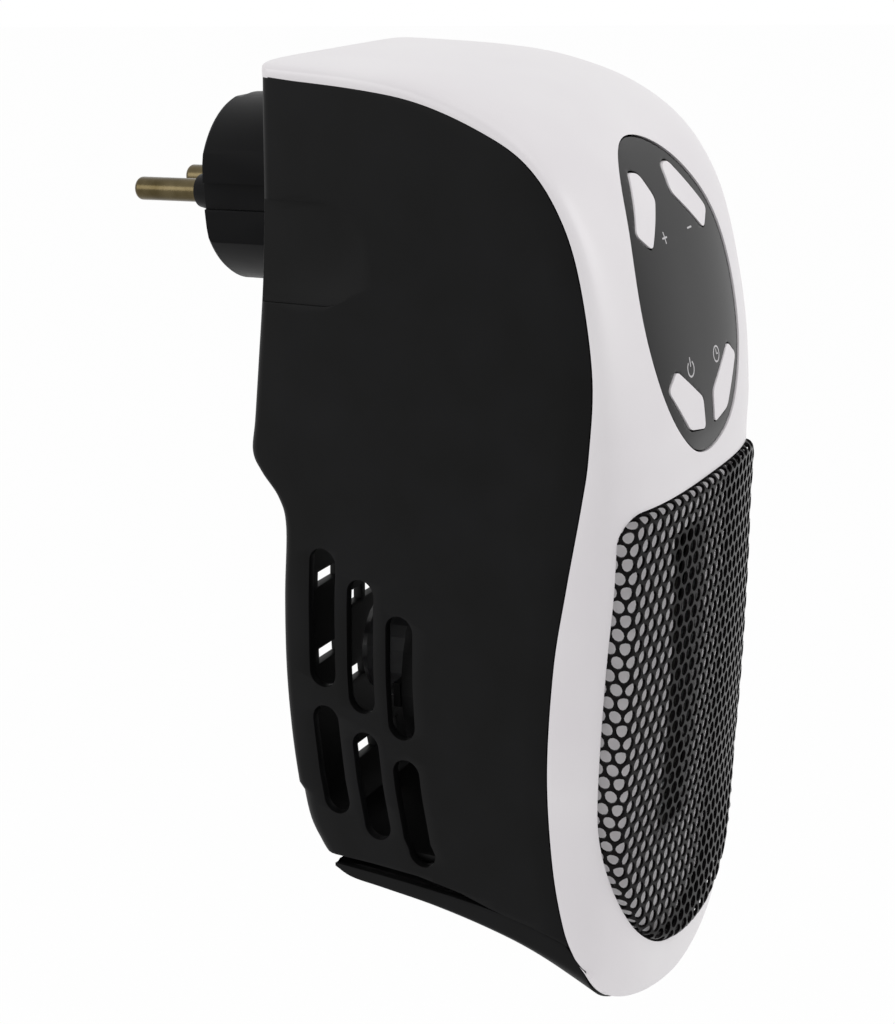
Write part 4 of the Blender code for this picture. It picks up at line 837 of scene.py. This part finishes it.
# Marks. Plain signs in white ink by the keys, printed on the lens in one pass: on and off, more, less
# and a clock face.
ink, tree, shader = new_material("white_ink")
place = add(tree, "ShaderNodeTexCoord")
speck = add(tree, "ShaderNodeTexNoise", {"Scale": 2500.0, "Detail": 2.0}, {"Vector": place.outputs["Object"]})
tint = add(tree, "ShaderNodeValToRGB", {}, {"Fac": speck.outputs["Fac"]})
tint.color_ramp.elements[0].color = linear("A9A7A9")
tint.color_ramp.elements[1].color = linear("C4C2C4")
tree.links.new(tint.outputs["Color"], shader.inputs["Base Color"])
shader.inputs["Roughness"].default_value = 0.55


def arc(radius, first, last, count=28):
    angles = [first + (last - first) * i / count for i in range(count + 1)]
    return [(radius * cos(angle), radius * sin(angle)) for angle in angles]


def stroke(path, centre, width):
    """One printed line that follows a path of (x, z) about a centre, wrapped over the lens."""
    path = np.array(path) + np.array(centre)
    heading = np.gradient(path, axis=0)
    across_it = np.stack((-heading[:, 1], heading[:, 0]), 1) / np.hypot(*heading.T)[:, None]

    def stroke_place(u, v):
        i = round(u * (len(path) - 1))
        x, z = path[i] + across_it[i] * (v - 0.5) * width
        return on_dome(x, z, -panel_sink + 0.00005)

    line = face_outward(drape("stroke", len(path) - 1, 1, stroke_place))
    return use(line, "SOLIDIFY", thickness=0.00008, offset=-1, use_even_offset=False)


for name, share, paths in (
    ("mark_power", (-0.29, -0.42), (arc(0.0015, radians(125), radians(415)), [(0, 0.0004), (0, 0.0022)])),
    ("mark_plus", (-0.27, 0.40),
     ([(-0.0011, 0), (0.0011, 0)], [(0, -0.0011), (0, -0.00015)], [(0, 0.00015), (0, 0.0011)])),
    ("mark_minus", (0.27, 0.40), ([(-0.0011, 0), (0.0011, 0)],)),
    ("mark_clock", (0.29, -0.42),
     (arc(0.0015, 0, 2 * pi), [(0, 0.0001), (0, 0.0010)], [(0.0001, 0), (0.0008, 0)])),
):
    centre = (share[0] * panel_half_width, panel_middle + share[1] * panel_half_height)
    lines = [stroke(path, centre, 0.00034) for path in paths]
    bpy.ops.object.select_all(action="DESELECT")
    for line in lines:
        line.select_set(True)
    bpy.context.view_layer.objects.active = lines[0]
    if len(lines) > 1:
        bpy.ops.object.join()
    lines[0].name = lines[0].data.name = name
    install(lines[0], ink, "case", "white")


# Keys. Four caps of white ABS, one to a corner of the panel, that slide on their stems against a spring.
for name, shares, side in (
    ("plus_button", upper_key_shares, 1), ("minus_button", upper_key_shares, -1),
    ("power_button", lower_key_shares, 1), ("timer_button", lower_key_shares, -1),
):
    outline = key_outline(shares, side, -key_growth)
    xs, zs = [p[0] for p in outline], [p[1] for p in outline]

    def key_place(u, v):
        x = min(xs) - 0.001 + u * (max(xs) - min(xs) + 0.002)
        z = max(zs) + 0.001 - v * (max(zs) - min(zs) + 0.002)
        return on_dome(x, z, -panel_sink + 0.0002)

    cap = face_outward(drape(name + "_cap", 20, 20, key_place))
    use(cap, "SOLIDIFY", thickness=0.0024, offset=-1, use_even_offset=False)
    shape_with(cap, tool("key_form", outline, front_y, cut_to_y - front_y, "Y"), "INTERSECT")
    soften(cap, 0.00035, 3)
    install(cap, white_abs, name.replace("button", "key"), "white", name)


# Mains plug. A round body of black polyamide with a drawn-in face edge, a guide groove on each side and
# a boss round each pin; it is held in the housing's collar.
polyamide, tree, shader = new_material("black_polyamide")
place = add(tree, "ShaderNodeTexCoord")
grain = add(tree, "ShaderNodeTexNoise", {"Scale": 2600.0, "Detail": 2.0}, {"Vector": place.outputs["Object"]})
cloud = add(tree, "ShaderNodeTexNoise", {"Scale": 80.0, "Detail": 2.0}, {"Vector": place.outputs["Object"]})
tint = add(tree, "ShaderNodeValToRGB", {}, {"Fac": cloud.outputs["Fac"]})
tint.color_ramp.elements[0].color = linear("0C0C0D")
tint.color_ramp.elements[1].color = linear("121213")
dull = add(tree, "ShaderNodeMapRange", {"To Min": 0.34, "To Max": 0.46}, {"Value": cloud.outputs["Fac"]})
bump = add(tree, "ShaderNodeBump", {"Strength": 0.08, "Distance": 0.00004}, {"Height": grain.outputs["Fac"]})
tree.links.new(tint.outputs["Color"], shader.inputs["Base Color"])
tree.links.new(dull.outputs["Result"], shader.inputs["Roughness"])
tree.links.new(bump.outputs["Normal"], shader.inputs["Normal"])
shader.inputs["Specular IOR Level"].default_value = 0.045


def spun(name, profile, middle=(0, 0, 0), steps=96):
    """Spins a profile of (radius, y) about the Y axis into a closed turned piece."""
    bpy.ops.object.select_all(action="DESELECT")
    bpy.ops.mesh.primitive_circle_add(vertices=len(profile), fill_type="NOTHING")
    made = bpy.context.object
    made.name = made.data.name = name
    for vert, (radius, y) in zip(made.data.vertices, profile):
        vert.co = (radius, y, 0)
    bpy.ops.object.mode_set(mode="EDIT")
    bpy.ops.mesh.select_all(action="SELECT")
    bpy.ops.mesh.spin(steps=steps, angle=2 * pi, center=(0, 0, 0), axis=(0, 1, 0))
    bpy.ops.mesh.select_all(action="SELECT")
    bpy.ops.mesh.remove_doubles(threshold=0.000005)
    bpy.ops.mesh.delete_loose()
    bpy.ops.mesh.select_all(action="SELECT")
    bpy.ops.mesh.normals_make_consistent(inside=False)
    bpy.ops.object.mode_set(mode="OBJECT")
    made.location = middle
    bpy.ops.object.transform_apply(location=True, rotation=True, scale=True)
    return made


flange_radius, flange_front, plug_end = 0.0225, -0.0325, -0.0355
pin_offset = 0.0095
profile = [(0, 0), (0.0120, 0), (0.0132, -0.0002), (0.0150, -0.0009), (0.0166, -0.0017), (0.0180, -0.0020)]
profile += [(0.0188, -0.0023), (plug_radius, -0.0030), (plug_radius, flange_front)]
profile += [(flange_radius, flange_front), (flange_radius, plug_end), (0, plug_end)]
plug = spun("plug_body_moulding", profile)
for side in (-1, 1):
    x = side * pin_offset
    shape_with(plug, cylinder("pin_boss", 0.0046, 0.0053, (x, 0.00065, 0), tip=0.0034, sides=40), "UNION")
    flat_size = (2 * (plug_radius - plug_flat), 0.0644, 2 * plug_radius)
    shape_with(plug, brick("flat", flat_size, (side * plug_radius, 0, 0)))
    shape_with(plug, brick("guide", (0.0032, 0.037, 0.0054), (side * plug_flat, 0, 0)))
    shape_with(plug, brick("notch", (0.015, 0.0094, 0.0012), (0, 0, side * plug_radius)))
    shape_with(plug, cylinder("pin_bore", 0.0027, 0.06, (x, -0.01, 0), sides=40))
soften(plug, 0.0004, 3)
install(plug, polyamide, "case", "plug", "plug_body")


# Plug pins. Solid brass turned to 4.8 mm with a rounded tip, nickel plated. They are coloured a dark, warm
# brass,
# far darker than bare metal: painted shade that dims their reflections; fine turning marks run round the
# pins.
plated, tree, shader = new_material("nickel_plated_brass")
place = add(tree, "ShaderNodeTexCoord")
rings = add(tree, "ShaderNodeTexWave",
            {"wave_type": "BANDS", "bands_direction": "Y", "Scale": 900.0, "Distortion": 1.5, "Detail": 1.0},
            {"Vector": place.outputs["Object"]})
mottle = add(tree, "ShaderNodeTexNoise", {"Scale": 160.0, "Detail": 3.0}, {"Vector": place.outputs["Object"]})
tint = add(tree, "ShaderNodeValToRGB", {}, {"Fac": mottle.outputs["Fac"]})
tint.color_ramp.elements[0].position, tint.color_ramp.elements[1].position = 0.35, 0.7
# Painted shade: both colours lie far below bare brass or nickel and darken the pins' reflections.
tint.color_ramp.elements[0].color = linear("4A412B")
tint.color_ramp.elements[1].color = linear("645A43")
dull = add(tree, "ShaderNodeMapRange", {"To Min": 0.20, "To Max": 0.34}, {"Value": mottle.outputs["Fac"]})
bump = add(tree, "ShaderNodeBump", {"Strength": 0.12, "Distance": 0.00002}, {"Height": rings.outputs["Fac"]})
tree.links.new(tint.outputs["Color"], shader.inputs["Base Color"])
tree.links.new(dull.outputs["Result"], shader.inputs["Roughness"])
tree.links.new(bump.outputs["Normal"], shader.inputs["Normal"])
shader.inputs["Metallic"].default_value = 1.0
pin_radius, pin_length, tip_radius = 0.0024, 0.0190, 0.0011
tail_radius, tail_end = 0.0015, -0.0400
for side, name in ((-1, "plug_pin_left"), (1, "plug_pin_right")):
    profile = [(0, pin_length), (pin_radius - tip_radius, pin_length)]
    profile += [(pin_radius - tip_radius + tip_radius * sin(pi / 2 * i / 8),
                 pin_length - tip_radius + tip_radius * cos(pi / 2 * i / 8)) for i in range(1, 9)]
    profile += [(pin_radius, plug_end), (tail_radius, plug_end), (tail_radius, tail_end), (0, tail_end)]
    pin = spun(name + "_turned", profile, (side * pin_offset, 0, 0), 48)
    soften(pin, 0.0001)
    install(pin, plated, "case", "nickel", name)


# Pieces inside the case. They keep their CAD shapes and get the finish of what they are made of, apart from
# the fan motor, whose dark colour is painted shade.
def dress(look, *nodes):
    """Puts a material in the material slots of CAD nodes."""
    for name in nodes:
        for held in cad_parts[name].material_slots:
            held.material = look


def grained(name, low, high, scale, rough, metal=0.0, bumped=0.1):
    """A surface whose colour and gloss vary over a grain of the given scale per metre."""
    made, tree, shader = new_material(name)
    place = add(tree, "ShaderNodeTexCoord")
    noise = add(tree, "ShaderNodeTexNoise", {"Scale": scale, "Detail": 3.0},
                {"Vector": place.outputs["Object"]})
    tint = add(tree, "ShaderNodeValToRGB", {}, {"Fac": noise.outputs["Fac"]})
    tint.color_ramp.elements[0].color = linear(low)
    tint.color_ramp.elements[1].color = linear(high)
    dull = add(tree, "ShaderNodeMapRange", {"To Min": rough[0], "To Max": rough[1]},
               {"Value": noise.outputs["Fac"]})
    bump = add(tree, "ShaderNodeBump", {"Strength": bumped, "Distance": 0.00005},
               {"Height": noise.outputs["Fac"]})
    tree.links.new(tint.outputs["Color"], shader.inputs["Base Color"])
    tree.links.new(dull.outputs["Result"], shader.inputs["Roughness"])
    tree.links.new(bump.outputs["Normal"], shader.inputs["Normal"])
    shader.inputs["Metallic"].default_value = metal
    return made


dress(black_abs, "plug_retainer", "fan_shroud", "motor_bracket", "fan_impeller",
      "plus_switch", "minus_switch", "power_switch", "timer_switch")
dress(grained("heatproof_resin", "2E2C29", "3A3835", 900.0, (0.45, 0.6)), "heater_frame")
dress(grained("rolled_aluminium", "A4A6A8", "BCBEC0", 1500.0, (0.35, 0.5), 1.0),
      "heater_fins_left", "heater_fins_right")
dress(grained("sintered_ceramic", "5A534E", "6E665F", 1200.0, (0.55, 0.7)), "heater_core")
dress(grained("zinc_plated_steel", "7E8082", "9A9CA0", 700.0, (0.3, 0.45), 1.0), "fan_shaft",
      "thermal_cutout", "screw_top_left", "screw_top_right", "screw_low_left", "screw_low_right")
# Painted shade: the fan motor's steel is coloured a dark grey, far darker than the plated steel beside it, so
# that it looks as dark as the shaded inside of the case.
dress(grained("painted_shade_dark_steel", "1C1C1D", "29292B", 700.0, (0.4, 0.55)), "fan_motor")
dress(grained("green_solder_mask", "174A2E", "205E3B", 800.0, (0.35, 0.5)), "control_board", "power_board")
dress(grained("smoked_display", "101012", "18181A", 300.0, (0.1, 0.18)), "display_module")
dress(grained("blue_epoxy", "244E7C", "2C5A8C", 700.0, (0.35, 0.5)), "relay_left", "relay_right",
      "plug_lead_right", "motor_lead_left", "motor_lead_right")
dress(grained("red_sleeve", "8E2622", "A23029", 700.0, (0.4, 0.5)), "mains_capacitor", "plug_lead_left",
      "heater_lead_left", "heater_lead_right")
